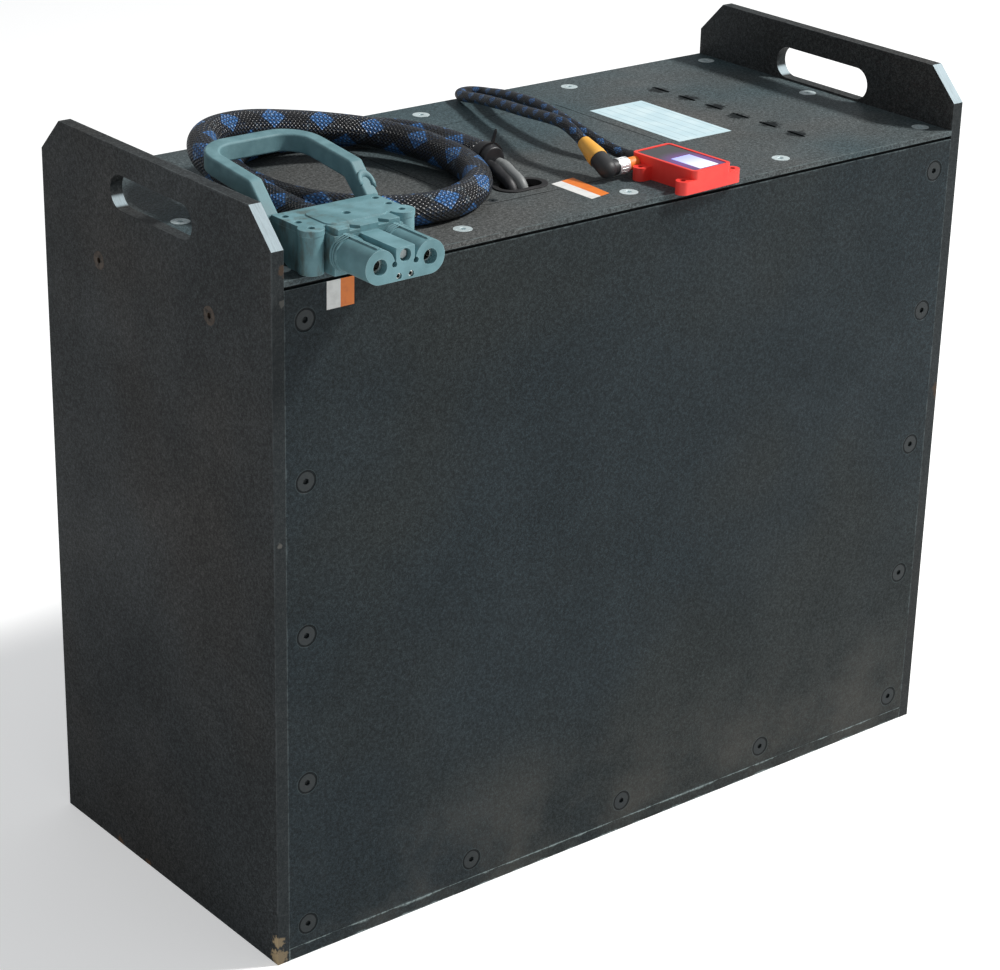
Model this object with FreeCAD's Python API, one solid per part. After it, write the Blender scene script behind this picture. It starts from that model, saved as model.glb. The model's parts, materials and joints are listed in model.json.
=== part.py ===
import FreeCAD, Part
import math
import os

# A lithium traction battery in a bolted steel tray. X runs along the tray, -Y is the
# front with the two columns of panel screws, +Z is up, and the origin is the centre of
# the underside. A braided lead with its grey traction plug and a red display with its
# own lead lie on the lid.

V = FreeCAD.Vector
X_AXIS = V(1, 0, 0)
Y_AXIS = V(0, 1, 0)
Z_AXIS = V(0, 0, 1)

# Steel tray
length = 790.0
depth = 353.0
lid_top = 627.0
plate_rise = 57.0
plate_thick = 12.0
plate_corner = 31.0
panel_thick = 10.0
base_thick = 12.0
lid_thick = 5.0
gasket_thick = 3.0
gasket_inset = 4.0
post_side = 30.0
rail_height = 38.0
side_rail_height = 60.0
bearer_width = 40.0
bearer_offset = 230.0

# Lifting slots in the end plates
slot_length = 126.0
slot_height = 31.0
slot_above_lid = 2.0

# Countersunk socket screws, large on the tray and small on the hatch
m8_head = 17.0
m8_shank = 8.0
m8_length = 22.0
m8_key = 5.0
m5_head = 9.4
m5_shank = 5.0
m5_length = 9.0
m5_key = 3.0
key_depth = 2.5
panel_screw_rows = 5
panel_screw_side = 20.0
panel_screw_foot = 19.0
panel_screw_head = 28.0
lid_screw_end = 15.0
lid_screw_side = 26.5
lid_middle_screw_end = 17.0
end_screw_side = 50.5
end_screw_head = 44.5

# Service hatch, its ledge and the cable outlet
hatch_half_x = 130.0
hatch_half_y = 110.0
hatch_gap = 0.75
hatch_corner = 6.0
hatch_screw_x = 114.0
hatch_screw_y = 102.0
ledge_thick = 4.0
ledge_outer = 15.0
ledge_inner_x = 106.0
ledge_inner_y = 97.0
outlet_x = -67.0
outlet_y = -82.0
outlet_length = 50.0
outlet_width = 28.0
grommet_wall = 3.5
grommet_flange = 2.0
grommet_rise = 1.2
vent_x = 252.0
vent_first = -100.0
vent_pitch = 38.0
vent_count = 6
vent_length = 24.0
vent_width = 4.0

# Cells and what carries them
cell_x = 174.0
cell_y = 72.0
cell_z = 207.0
cell_gap = 0.5
cell_clearance = 3.5
board_thick = 4.0
board_margin = 4.0
terminal_offset = 60.0
terminal_side = 24.0
terminal_rise = 3.0
busbar_thick = 3.0
rod_diameter = 10.0
rod_x = 175.0
rod_clearance = 0.3
nut_flats = 17.0
nut_height = 8.0

# Switchgear on the upper board
block_length = 72.0
block_width = 48.0
block_height = 48.0
contactor_length = 70.0
contactor_width = 52.0
contactor_height = 60.0
contactor_drum = 40.0
contactor_drum_length = 22.0
contactor_drum_rise = 24.0
contactor_gap = 60.0
stud_diameter = 8.0
stud_rise = 12.0
strap_width = 18.0
strap_thick = 3.0
fuse_diameter = 26.0
fuse_length = 40.0
sink_length = 180.0
sink_width = 110.0
sink_height = 22.0
sink_foot = 10.0
sink_x = 120.0
sink_y = 62.0
sink_fins = 9
fin_thick = 2.0
fin_rise = 26.0
monitor_foot = 4.0

# Traction plug: two contact barrels point to the front over the tray's edge
plug_from_plate = 73.0
plug_overhang = 13.5
plug_body_length = 63.0
plug_half = 51.0
plug_axis_rise = 19.0
plug_height = 33.0
cover_thick = 5.0
ear_x = 44.5
ear_back = 17.0
ear_radius = 11.0
leg_radius = 10.5
leg_lift = 1.0
ear_hole = 6.0
ear_hole_pitch = 18.0
barrel_pitch = 49.0
barrel_radius = 14.25
barrel_length = 48.0
barrel_bore = 13.5
bore_depth = 44.0
bridge_half = 9.0
bridge_rise = 13.0
collar_rings = 3
collar_rise = 1.2
collar_width = 1.6
collar_pitch = 3.2
rib_width = 3.0
rib_rise = 1.1
contact_bore = 9.0
contact_length = 34.0
contact_recess = 7.0
fit_clearance = 0.1
coding_bore = 11.0
coding_pin = 8.4
coding_rise = 6.0
coding_depth = 30.0
pilot_hole = 5.0
pilot_hole_x = 10.5
pilot_bore = 5.4
pilot_x = 6.0
pilot_drop = 10.5
pilot_depth = 20.0
rear_bevel = 12.0

# Bent handle loop behind the plug
handle_half = 56.0
handle_band = 13.0
handle_height = 16.0
handle_root = 21.0
handle_kink_run = 24.0
handle_kink_rise = 24.0
handle_reach = 113.0
handle_tip_rise = 33.0
handle_corner = 34.0

# Power lead and its ends
lead_diameter = 27.0
boot_diameter = 27.8
plug_boot_length = 16.0
tail_boot_length = 18.0
tail_diameter = 10.5
tail_pitch = 12.0
tail_spread = 5.8
tail_shift = 5.0
tail_forward = 5.0
lead_rest = 0.5

# Display with corner lugs and its own lead
display_x = 64.0
display_back = 30.0
display_yaw = 3.0
display_half_x = 23.5
display_half_y = 39.5
display_height = 20.0
display_corner = 5.0
lug_x = 31.0
lug_front_y = -33.0
lug_rear_y = 20.0
lug_radius = 6.5
lug_height = 12.0
lug_screw = 5.0
bezel_margin = 3.0
bezel_depth = 3.0
bezel_sink = 0.4
screen_half_x = 11.5
screen_front_y = -34.0
screen_rear_y = 2.0
screen_thick = 1.2
screen_rise = 0.3
socket_y = 33.5
socket_rise = 11.5
socket_diameter = 11.5
socket_length = 13.0
nut_diameter = 15.0
nut_length = 12.0
nut_ribs = 16
nut_rib_depth = 0.5
elbow_diameter = 14.0
elbow_reach = 10.0
body_diameter = 17.0
boot_length = 26.0
boot_end_x = -55.8
boot_end_y = 68.6
boot_end_rise = 26.3
gland_x = -12.0
gland_rise = 10.5
gland_length = 14.0
gland_diameter = 15.0
data_diameter = 10.5

# Labels
film_thick = 0.3
label_x = 175.0
label_y = 5.5
label_half_x = 33.0
label_half_y = 64.0
seal_length = 27.0
seal_drop = 24.0
seal_shift = 18.5

# Sizes that follow from the ones above
half_length = length / 2
half_depth = depth / 2
plate_top = lid_top + plate_rise
inner_x = half_length - plate_thick
inner_y = half_depth - panel_thick
lid_bottom = lid_top - lid_thick
frame_top = lid_bottom - gasket_thick
post_x = inner_x - post_side
post_y = inner_y - post_side
panel_screw_x = inner_x - panel_screw_side
panel_screw_low = base_thick + panel_screw_foot
panel_screw_pitch = (frame_top - panel_screw_head - panel_screw_low) / (panel_screw_rows - 1)
panel_foot_pitch = panel_screw_x / 2
lid_screw_pitch = (inner_x - lid_screw_end) / 2
lid_screw_y = half_depth - lid_screw_side
lid_middle_screw_x = inner_x - lid_middle_screw_end
end_screw_y = post_y - end_screw_side
end_screw_z = frame_top - end_screw_head
cell_columns = int(2 * post_x // (cell_x + cell_gap))
cell_rows = int(2 * (inner_y - rod_diameter - cell_clearance) // (cell_y + cell_gap))
plug_x = plug_from_plate + plate_thick - half_length
plug_front = -half_depth - plug_overhang
plug_rear = plug_front + plug_body_length
ear_y = plug_front + ear_back
display_y = display_back - half_depth
lower_board_z = base_thick + rail_height
slot_z = lid_top + slot_above_lid + slot_height / 2
plug_z = lid_top + plug_axis_rise
cover_z = lid_top + plug_height
stack_z = terminal_rise + busbar_thick
lower_cell_z = lower_board_z + board_thick
middle_board_z = lower_cell_z + cell_z + stack_z
upper_cell_z = middle_board_z + board_thick
upper_board_z = upper_cell_z + cell_z + stack_z
deck_z = upper_board_z + board_thick
cell_half_x = (cell_columns * cell_x + (cell_columns - 1) * cell_gap) / 2
cell_half_y = (cell_rows * cell_y + (cell_rows - 1) * cell_gap) / 2
rod_y = cell_half_y + rod_diameter / 2 + 1.0

# Centre line of the power lead, from the boot by the outlet to the boot on the plug
power_route = [
    (-68, -28, 641), (-68, 2, 641), (-72, 38, 641), (-88, 74, 641), (-118, 101, 641),
    (-156, 117, 641), (-198, 121, 641), (-236, 111, 641), (-265, 86, 641), (-282, 50, 641),
    (-289, 10, 641), (-286, -34, 641), (-272, -76, 641), (-243, -108, 641), (-204, -126, 641),
    (-163, -121, 641), (-127, -100, 641.5), (-105, -65, 643), (-98, -24, 645), (-103, 17, 647),
    (-119, 52, 650), (-148, 76, 655), (-187, 87, 661), (-226, 88, 668), (-262, 86, 672),
    (-294, 73, 672), (-316, 44, 669), (-324, 6, 664), (-320, -34, 656), (-310, -73, 646),
    (-310, -111, 646),
]

# Centre line of the display's lead, from its gland to the boot of its right-angle plug
data_route = [
    (49.216, -93.701, 637.5), (48.29, -76.026, 637.5), (46, -54, 642), (45, -28, 647.5), (49, 0, 650),
    (56, 30, 651), (62, 64, 650), (68, 98, 646), (75, 126, 641), (80, 146, 636.5),
    (83, 160, 634), (75, 173, 633.5), (61, 171, 633.5), (56, 156, 634.5), (53, 132, 639),
    (46, 104, 643.5), (40, 74, 647.5), (33, 44, 651), (26, 14, 655), (18, -16, 660),
    (11.065, -52.865, 662.998), (8.2, -77.9, 653.3),
]


def box(x0, x1, y0, y1, z0, z1):
    """Block between two corners."""
    return Part.makeBox(x1 - x0, y1 - y0, z1 - z0, V(x0, y0, z0))


def rod(start, axis, diameter, reach):
    """Round bar from a point along an axis."""
    return Part.makeCylinder(diameter / 2, reach, start, axis)


def slab(points, z0, z1):
    """Upright plate with a polygon outline of (x, y) points."""
    corners = [V(x, y, z0) for x, y in points]
    face = Part.Face(Part.makePolygon(corners + corners[:1]))
    return face.extrude(V(0, 0, z1 - z0))


def rounded_slab(half_x, half_y, corner, z0, z1):
    """Plate about the origin with round corners."""
    plate = box(-half_x, half_x, -half_y, half_y, z0, z1)
    upright = [e for e in plate.Edges if abs(e.tangentAt(e.FirstParameter).z) > 0.9]
    return plate.makeFillet(corner, upright)


def obround(centre, along, axis, span, width, thick):
    """Slot-shaped bar: two round ends joined by a block, along one axis and deep in another."""
    reach = (span - width) / 2
    across = axis.cross(along)
    ends = [centre + along * (side * reach) for side in (-1, 1)]
    corners = []
    for end, first in ((ends[0], 1), (ends[1], -1)):
        corners.append(end + across * (first * width / 2))
        corners.append(end - across * (first * width / 2))
    straight = Part.Face(Part.makePolygon(corners + corners[:1])).extrude(axis * thick)
    rounds = [Part.makeCylinder(width / 2, thick, end, axis) for end in ends]
    return straight.fuse(rounds).removeSplitter()


def hexagon(centre, axis, flats, reach):
    """Six-sided bar across flats, along an axis."""
    side = Z_AXIS if abs(axis.z) < 0.9 else X_AXIS
    other = axis.cross(side)
    radius = flats / math.sqrt(3)
    corners = []
    for step in range(6):
        turn = math.radians(60 * step)
        corners.append(centre + side * (radius * math.cos(turn)) + other * (radius * math.sin(turn)))
    return Part.Face(Part.makePolygon(corners + corners[:1])).extrude(axis * reach)


def sunk_cutter(head, shank, reach, point, inward):
    """Countersunk hole from a surface point, going inward."""
    cone = Part.makeCone(head / 2, shank / 2, (head - shank) / 2, point, inward)
    return cone.fuse(Part.makeCylinder(shank / 2, reach, point, inward))


def sunk_screw(head, shank, reach, key, point, inward):
    """Countersunk screw with a hexagon socket, its head flush with the surface point."""
    screw = sunk_cutter(head, shank, reach, point, inward).removeSplitter()
    return screw.cut(hexagon(point, inward, key, key_depth))


def round_tube(points, diameter, label):
    """Round bar along straight runs joined by tangent arcs, with its bend radii printed."""
    route = [V(*point) for point in points]
    edges = []
    radii = []
    start = route[0]
    for before, corner, after in zip(route, route[1:], route[2:]):
        back = before - corner
        on = after - corner
        run = min(back.Length, on.Length)
        back.normalize()
        on.normalize()
        half_turn = (math.pi - back.getAngle(on)) / 2
        setback = 0.45 * run
        radius = setback / math.tan(half_turn)
        radii.append(radius)
        first = corner + back * setback
        last = corner + on * setback
        middle_way = back + on
        middle_way.normalize()
        centre = corner + middle_way * (radius / math.cos(half_turn))
        middle = centre - middle_way * radius
        edges.append(Part.LineSegment(start, first).toShape())
        edges.append(Part.Arc(first, middle, last).toShape())
        start = last
    edges.append(Part.LineSegment(start, route[-1]).toShape())
    path = Part.Wire(edges)
    ring = Part.Circle(route[0], route[1] - route[0], diameter / 2).toShape()
    tube = path.makePipeShell([Part.Wire(ring)], True, False)
    expected = math.pi * (diameter / 2) ** 2 * path.Length
    print(label, "length", round(path.Length, 1), "volume share", round(tube.Volume / expected, 4))
    print(label, "radii", [round(radius) for radius in radii])
    return tube


def panel_screw_points(front):
    """Surface points of one panel's screws: two columns and a bottom row."""
    y = -half_depth if front else half_depth
    points = []
    for side in (-1, 1):
        for row in range(panel_screw_rows):
            points.append(V(side * panel_screw_x, y, panel_screw_low + row * panel_screw_pitch))
    for place in (-1, 0, 1):
        points.append(V(place * panel_foot_pitch, y, panel_screw_low))
    return points


def lid_screw_points():
    """Surface points of the lid's screws: five along each long side and one at each end."""
    points = []
    for side in (-1, 1):
        for place in (-2, -1, 0, 1, 2):
            points.append(V(place * lid_screw_pitch, side * lid_screw_y, lid_top))
        points.append(V(side * lid_middle_screw_x, 0, lid_top))
    return points


def end_screw_points(side):
    """Surface points of the two screws in one end plate."""
    return [V(side * half_length, y, end_screw_z) for y in (-end_screw_y, end_screw_y)]


def hatch_screw_points():
    """Surface points of the four hatch screws."""
    return [V(x, y, lid_top) for x in (-hatch_screw_x, hatch_screw_x)
            for y in (-hatch_screw_y, hatch_screw_y)]


def m8_holes(points, inward):
    """Countersunk clearance holes for the large screws, through plate and frame."""
    return [sunk_cutter(m8_head, m8_shank, m8_length, point, inward) for point in points]


def m8_screws(points, inward):
    """Large countersunk screws as one group."""
    return Part.makeCompound([sunk_screw(m8_head, m8_shank, m8_length, m8_key, point, inward)
                              for point in points])


def make_end_plate(side):
    """Thick end plate with bevelled top corners and a lifting slot."""
    outline = [
        (-half_depth, 0), (half_depth, 0), (half_depth, plate_top - plate_corner),
        (half_depth - plate_corner, plate_top), (plate_corner - half_depth, plate_top),
        (-half_depth, plate_top - plate_corner),
    ]
    start = inner_x if side > 0 else -half_length
    corners = [V(start, y, z) for y, z in outline]
    plate = Part.Face(Part.makePolygon(corners + corners[:1])).extrude(V(plate_thick, 0, 0))
    slot = obround(V(start, 0, slot_z), Y_AXIS, X_AXIS, slot_length, slot_height, plate_thick)
    holes = m8_holes(end_screw_points(side), X_AXIS * -side)
    return plate.cut([slot] + holes)


def make_panel(front):
    """Front or back panel, standing on the base between the end plates."""
    y = -half_depth if front else inner_y
    panel = box(-inner_x, inner_x, y, y + panel_thick, base_thick, frame_top)
    inward = Y_AXIS if front else Y_AXIS * -1
    return panel.cut(m8_holes(panel_screw_points(front), inward))


def frame_holes():
    """Every large screw's hole, for cutting into the frame."""
    holes = m8_holes(panel_screw_points(True), Y_AXIS)
    holes += m8_holes(panel_screw_points(False), Y_AXIS * -1)
    holes += m8_holes(lid_screw_points(), Z_AXIS * -1)
    holes += m8_holes(end_screw_points(-1), X_AXIS)
    holes += m8_holes(end_screw_points(1), X_AXIS * -1)
    return holes


def drilled(bar, holes):
    """Frame bar with those screw holes that reach it."""
    reaching = [hole for hole in holes if hole.BoundBox.intersect(bar.BoundBox)]
    return bar.cut(reaching) if reaching else bar


def make_frame():
    """Corner posts, bottom rails, top rails and floor bearers."""
    holes = frame_holes()
    bars = {}
    for x_side, x_name in ((-1, "left"), (1, "right")):
        x0 = min(x_side * post_x, x_side * inner_x)
        for y_side, y_name in ((-1, "front"), (1, "back")):
            y0 = min(y_side * post_y, y_side * inner_y)
            bars["corner_post_" + y_name + "_" + x_name] = box(
                x0, x0 + post_side, y0, y0 + post_side, base_thick, frame_top)
        bars["top_rail_" + x_name] = box(
            x0, x0 + post_side, -post_y, post_y, frame_top - side_rail_height, frame_top)
    for y_side, y_name in ((-1, "front"), (1, "back")):
        y0 = min(y_side * post_y, y_side * inner_y)
        bars["bottom_rail_" + y_name] = box(
            -post_x, post_x, y0, y0 + post_side, base_thick, lower_board_z)
        bars["top_rail_" + y_name] = box(
            -post_x, post_x, y0, y0 + post_side, frame_top - rail_height, frame_top)
    frame = {name: drilled(bar, holes) for name, bar in bars.items()}
    bearers = []
    for place in (-1, 0, 1):
        middle = place * bearer_offset
        bearers.append(box(middle - bearer_width / 2, middle + bearer_width / 2,
                           -post_y, post_y, base_thick, lower_board_z))
    frame["floor_bearers"] = Part.makeCompound(bearers)
    return frame


def make_lid():
    """Lid sheet with the hatch opening, screw holes and a row of vent slots."""
    sheet = box(-inner_x, inner_x, -half_depth, half_depth, lid_bottom, lid_top)
    opening = rounded_slab(hatch_half_x, hatch_half_y, hatch_corner, lid_bottom, lid_top)
    cutters = [opening] + m8_holes(lid_screw_points(), Z_AXIS * -1)
    for step in range(vent_count):
        centre = V(vent_x, vent_first + step * vent_pitch, lid_bottom)
        cutters.append(obround(centre, Y_AXIS, Z_AXIS, vent_length, vent_width, lid_thick))
    return sheet.cut(cutters)


def make_gasket():
    """Rubber ring between the frame and the lid."""
    outer_x = inner_x - gasket_inset
    outer_y = half_depth - gasket_inset
    ring = box(-outer_x, outer_x, -outer_y, outer_y, frame_top, lid_bottom)
    ring = ring.cut(box(-post_x, post_x, -post_y, post_y, frame_top, lid_bottom))
    return ring.cut(m8_holes(lid_screw_points(), Z_AXIS * -1))


def outlet_bar(extra, z0, z1):
    """Slot-shaped bar at the cable outlet, larger than the hole by an extra all round."""
    return obround(V(outlet_x, outlet_y, z0), X_AXIS, Z_AXIS,
                   outlet_length + 2 * extra, outlet_width + 2 * extra, z1 - z0)


def make_hatch():
    """Service hatch, flush in the lid, with the cable outlet and its screw holes."""
    panel = rounded_slab(hatch_half_x - hatch_gap, hatch_half_y - hatch_gap,
                         hatch_corner - hatch_gap, lid_bottom, lid_top)
    holes = [sunk_cutter(m5_head, m5_shank, m5_length, point, Z_AXIS * -1)
             for point in hatch_screw_points()]
    return panel.cut([outlet_bar(0, lid_bottom, lid_top)] + holes)


def make_hatch_ledge():
    """Ring under the lid that carries the hatch."""
    outer_x = hatch_half_x + ledge_outer
    outer_y = hatch_half_y + ledge_outer
    low = lid_bottom - ledge_thick
    ring = box(-outer_x, outer_x, -outer_y, outer_y, low, lid_bottom)
    ring = ring.cut(box(-ledge_inner_x, ledge_inner_x, -ledge_inner_y, ledge_inner_y,
                        low, lid_bottom))
    return ring.cut([rod(point, Z_AXIS * -1, m5_shank, m5_length)
                     for point in hatch_screw_points()])


def make_grommet():
    """Rubber edging of the cable outlet, with a low flange on the hatch."""
    body = outlet_bar(0, lid_bottom, lid_top + grommet_rise)
    flange = outlet_bar(grommet_flange, lid_top, lid_top + grommet_rise)
    bore = outlet_bar(-grommet_wall, lid_bottom, lid_top + grommet_rise)
    return body.fuse(flange).cut(bore).removeSplitter()


def cell_centres():
    """Centre of each cell in plan, column by column."""
    centres = []
    for column in range(cell_columns):
        for row in range(cell_rows):
            x = -cell_half_x + cell_x / 2 + column * (cell_x + cell_gap)
            y = -cell_half_y + cell_y / 2 + row * (cell_y + cell_gap)
            centres.append(V(x, y, 0))
    return centres


def make_cells(low):
    """One layer of prismatic cells with two flat terminals each."""
    cells = []
    for middle in cell_centres():
        can = box(middle.x - cell_x / 2, middle.x + cell_x / 2,
                  middle.y - cell_y / 2, middle.y + cell_y / 2, low, low + cell_z)
        pads = []
        for side in (-1, 1):
            x = middle.x + side * terminal_offset
            pads.append(box(x - terminal_side / 2, x + terminal_side / 2,
                            middle.y - terminal_side / 2, middle.y + terminal_side / 2,
                            low + cell_z, low + cell_z + terminal_rise))
        cells.append(can.fuse(pads))
    return Part.makeCompound(cells)


def make_busbars(low):
    """Flat links that join the cells of each column in series."""
    bars = []
    base = low + cell_z + terminal_rise
    for column in range(cell_columns):
        rows = cell_centres()[column * cell_rows:(column + 1) * cell_rows]
        for index in range(cell_rows - 1):
            side = 1 if index % 2 == 0 else -1
            x = rows[index].x + side * terminal_offset
            bars.append(box(x - terminal_side / 2, x + terminal_side / 2,
                            rows[index].y - terminal_side / 2,
                            rows[index + 1].y + terminal_side / 2, base, base + busbar_thick))
    return Part.makeCompound(bars)


def rod_places():
    """Plan position of each tie rod beside the cells."""
    return [(x, y) for x in (-rod_x, rod_x) for y in (-rod_y, rod_y)]


def make_board(low):
    """Insulating board with holes for the tie rods."""
    half_x = cell_half_x
    half_y = rod_y + rod_diameter / 2 + board_margin
    board = box(-half_x, half_x, -half_y, half_y, low, low + board_thick)
    holes = [rod(V(x, y, low), Z_AXIS, rod_diameter + 2 * rod_clearance, board_thick)
             for x, y in rod_places()]
    return board.cut(holes)


def make_tie_rods():
    """Threaded rods from the bottom rails up through the boards, each with its nut."""
    rods = []
    top = deck_z + nut_height + terminal_rise
    for x, y in rod_places():
        bar = rod(V(x, y, lower_board_z), Z_AXIS, rod_diameter, top - lower_board_z)
        nut = hexagon(V(x, y, deck_z), Z_AXIS, nut_flats, nut_height)
        rods.append(bar.fuse(nut))
    return Part.makeCompound(rods)


def tail_place(side):
    """Plan position of one lead tail below the outlet."""
    return V(outlet_x - tail_shift + side * tail_pitch / 2, outlet_y - tail_forward, 0)


def block_corner():
    """Lowest corner of the terminal block, centred below the tails."""
    middle = tail_place(0)
    return V(middle.x - block_length / 2, middle.y - block_width / 2, deck_z)


def contactor_corner():
    """Lowest corner of the contactor, to the right of the terminal block."""
    corner = block_corner()
    return V(corner.x + block_length + contactor_gap, corner.y, deck_z)


def standing_block(corner, along, across, rise):
    """Block from its lowest corner and its three sizes."""
    return box(corner.x, corner.x + along, corner.y, corner.y + across,
               corner.z, corner.z + rise)


def make_terminal_block():
    """Moulded block that the lead's tails are bolted to, with a groove between them."""
    corner = block_corner()
    middle = corner.x + block_length / 2
    groove = box(middle - 1.5, middle + 1.5, corner.y, corner.y + block_width,
                 corner.z + block_height - 10, corner.z + block_height)
    return standing_block(corner, block_length, block_width, block_height).cut(groove)


def make_contactor():
    """Main contactor: a block, a coil drum beside it and two studs."""
    corner = contactor_corner()
    body = standing_block(corner, contactor_length, contactor_width, contactor_height)
    drum = rod(V(corner.x + contactor_length / 2, corner.y + contactor_width,
                 deck_z + contactor_drum_rise), Y_AXIS, contactor_drum, contactor_drum_length)
    inset = 2 * stud_diameter
    studs = [rod(V(corner.x + x, corner.y + contactor_width / 2, deck_z + contactor_height),
                 Z_AXIS, stud_diameter, stud_rise) for x in (inset, contactor_length - inset)]
    return body.fuse([drum] + studs)


def make_fuse():
    """Main fuse: a round body with a blade at each end, between block and contactor."""
    corner = block_corner()
    gap_middle = corner.x + block_length + contactor_gap / 2
    y = corner.y + fuse_diameter / 2
    body = rod(V(gap_middle - fuse_length / 2, y, deck_z + fuse_diameter / 2), X_AXIS,
               fuse_diameter, fuse_length)
    blade = box(gap_middle - contactor_gap / 2, gap_middle + contactor_gap / 2,
                y - strap_width / 2, y + strap_width / 2,
                deck_z + fuse_diameter / 2 - strap_thick / 2,
                deck_z + fuse_diameter / 2 + strap_thick / 2)
    return body.fuse(blade)


def make_monitor():
    """Cell monitor: a closed box on four feet with a finned heat sink on top."""
    low = deck_z + monitor_foot
    x0 = sink_x - sink_length / 2
    y0 = sink_y - sink_width / 2
    pieces = []
    pitch = (sink_width - fin_thick) / (sink_fins - 1)
    for index in range(sink_fins):
        y = y0 + index * pitch
        pieces.append(box(x0, x0 + sink_length, y, y + fin_thick,
                          low + sink_height, low + sink_height + fin_rise))
    for x in (x0, x0 + sink_length - sink_foot):
        for y in (y0, y0 + sink_width - sink_foot):
            pieces.append(box(x, x + sink_foot, y, y + sink_foot, deck_z, low))
    return standing_block(V(x0, y0, low), sink_length, sink_width, sink_height).fuse(pieces)


def make_tail(side):
    """One jacketed conductor from the lead's boot, over the grommet and down inside."""
    start = power_route[0]
    rear = start[1] - tail_boot_length
    rest = lid_top + grommet_rise + tail_diameter / 2 + lead_rest
    place = tail_place(side)
    x = place.x
    y = place.y
    inner = start[0] + side * tail_spread
    route = [
        (inner, rear, rest + 3.5), (inner, rear - 9, rest + 3.5), (x, rear - 22, rest + 0.6),
        (x, y + 6, rest - 3.5), (x, y + 1, rest - 13), (x, y, rest - 28),
        (x, y - 2, rest - 46), (x, y - 1.5, rest - 64), (x, y, rest - 81),
        (x, y, deck_z + block_height),
    ]
    return round_tube(route, tail_diameter, "tail")


def make_tail_boot():
    """Shrunk end of the braid by the outlet."""
    start = V(*power_route[0])
    return rod(start, Y_AXIS * -1, boot_diameter, tail_boot_length)


def make_plug_boot():
    """Shrunk end of the braid at the plug's rear."""
    end = V(*power_route[-1])
    return rod(end, Y_AXIS * -1, boot_diameter, plug_boot_length)


def plug_ear_holes(low, high):
    """Three through holes on each side of the plug."""
    holes = []
    for side in (-1, 1):
        for step in range(3):
            holes.append(rod(V(plug_x + side * ear_x, ear_y + step * ear_hole_pitch, low),
                             Z_AXIS, ear_hole, high - low))
    return holes


def barrel_centres():
    """Axis points of the two contact barrels at the plug's front."""
    return [V(plug_x + side * barrel_pitch / 2, plug_front, plug_z) for side in (-1, 1)]


def make_plug_housing():
    """Lower moulding of the plug with its ear legs, contact barrels and bridge."""
    forward = Y_AXIS * -1
    tip = plug_front - barrel_length
    body = box(plug_x - plug_half, plug_x + plug_half, plug_front, plug_rear, lid_top, cover_z)
    wedge_end = plug_rear - 2 * rear_bevel
    wedge = [V(plug_x - plug_half, plug_rear, lid_top),
             V(plug_x - plug_half, plug_rear, lid_top + rear_bevel),
             V(plug_x - plug_half, wedge_end, lid_top)]
    bevel = Part.Face(Part.makePolygon(wedge + wedge[:1])).extrude(V(2 * plug_half, 0, 0))
    body = body.cut(bevel)
    side_cut = plug_half - ear_x + ear_radius
    pieces = []
    for side in (-1, 1):
        pieces.append(rod(V(plug_x + side * ear_x, ear_y, lid_top + leg_lift), Z_AXIS,
                          2 * leg_radius, cover_z - lid_top - leg_lift))
        corner_x = plug_x + side * plug_half
        notch = box(min(corner_x, corner_x - side * side_cut), max(corner_x, corner_x - side * side_cut),
                    plug_front, ear_y, lid_top, cover_z)
        body = body.cut(notch)
    for centre in barrel_centres():
        pieces.append(rod(centre, forward, 2 * barrel_radius, barrel_length))
        for ring in range(collar_rings):
            start = centre + forward * (1.5 + ring * collar_pitch)
            pieces.append(rod(start, forward, 2 * (barrel_radius + collar_rise), collar_width))
        rib_top = plug_z + barrel_radius + rib_rise
        pieces.append(box(centre.x - rib_width / 2, centre.x + rib_width / 2, tip + 2, plug_front,
                          plug_z, rib_top))
    pieces.append(box(plug_x - barrel_pitch / 2, plug_x + barrel_pitch / 2, tip, plug_front,
                      plug_z - barrel_radius, plug_z))
    pieces.append(box(plug_x - bridge_half, plug_x + bridge_half, tip, plug_front,
                      plug_z, plug_z + bridge_rise))
    body = body.fuse(pieces)
    bores = [rod(V(centre.x, tip, plug_z), Y_AXIS, barrel_bore, bore_depth)
             for centre in barrel_centres()]
    bores.append(rod(V(plug_x, tip, plug_z + coding_rise), Y_AXIS, coding_bore, coding_depth))
    for side in (-1, 1):
        bores.append(rod(V(plug_x + side * pilot_hole_x, tip, plug_z), Y_AXIS,
                         pilot_hole, pilot_depth))
        bores.append(rod(V(plug_x + side * pilot_x, tip, plug_z - pilot_drop), Y_AXIS,
                         pilot_bore, pilot_depth))
    return body.cut(bores + plug_ear_holes(lid_top, cover_z)).removeSplitter()


def make_plug_cover():
    """Flat cover with two ears, screw holes, a raised pad and two notches at the front."""
    top = cover_z + cover_thick
    plate = box(plug_x - plug_half, plug_x + plug_half, ear_y, plug_rear, cover_z, top)
    nose = box(plug_x - barrel_pitch / 2 - 6, plug_x + barrel_pitch / 2 + 6, plug_front, ear_y,
               cover_z, top)
    ears = [rod(V(plug_x + side * ear_x, ear_y, cover_z), Z_AXIS, 2 * ear_radius, cover_thick)
            for side in (-1, 1)]
    middle_y = (plug_front + plug_rear) / 2
    pad = rounded_slab(30.0, 19.0, 8.0, top, top + 1.0)
    pad.translate(V(plug_x, middle_y, 0))
    plate = plate.fuse([nose, pad] + ears)
    cuts = plug_ear_holes(cover_z, top)
    cuts.append(rod(V(plug_x, middle_y, top - 1.5), Z_AXIS, 7.0, 3.0))
    for side in (-1, 1):
        x = plug_x + side * 14.0
        cuts.append(slab([(x - 5, plug_front), (x + 5, plug_front), (x, plug_front + 8)],
                         top - 2.5, top))
    return plate.cut(cuts).removeSplitter()


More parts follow.
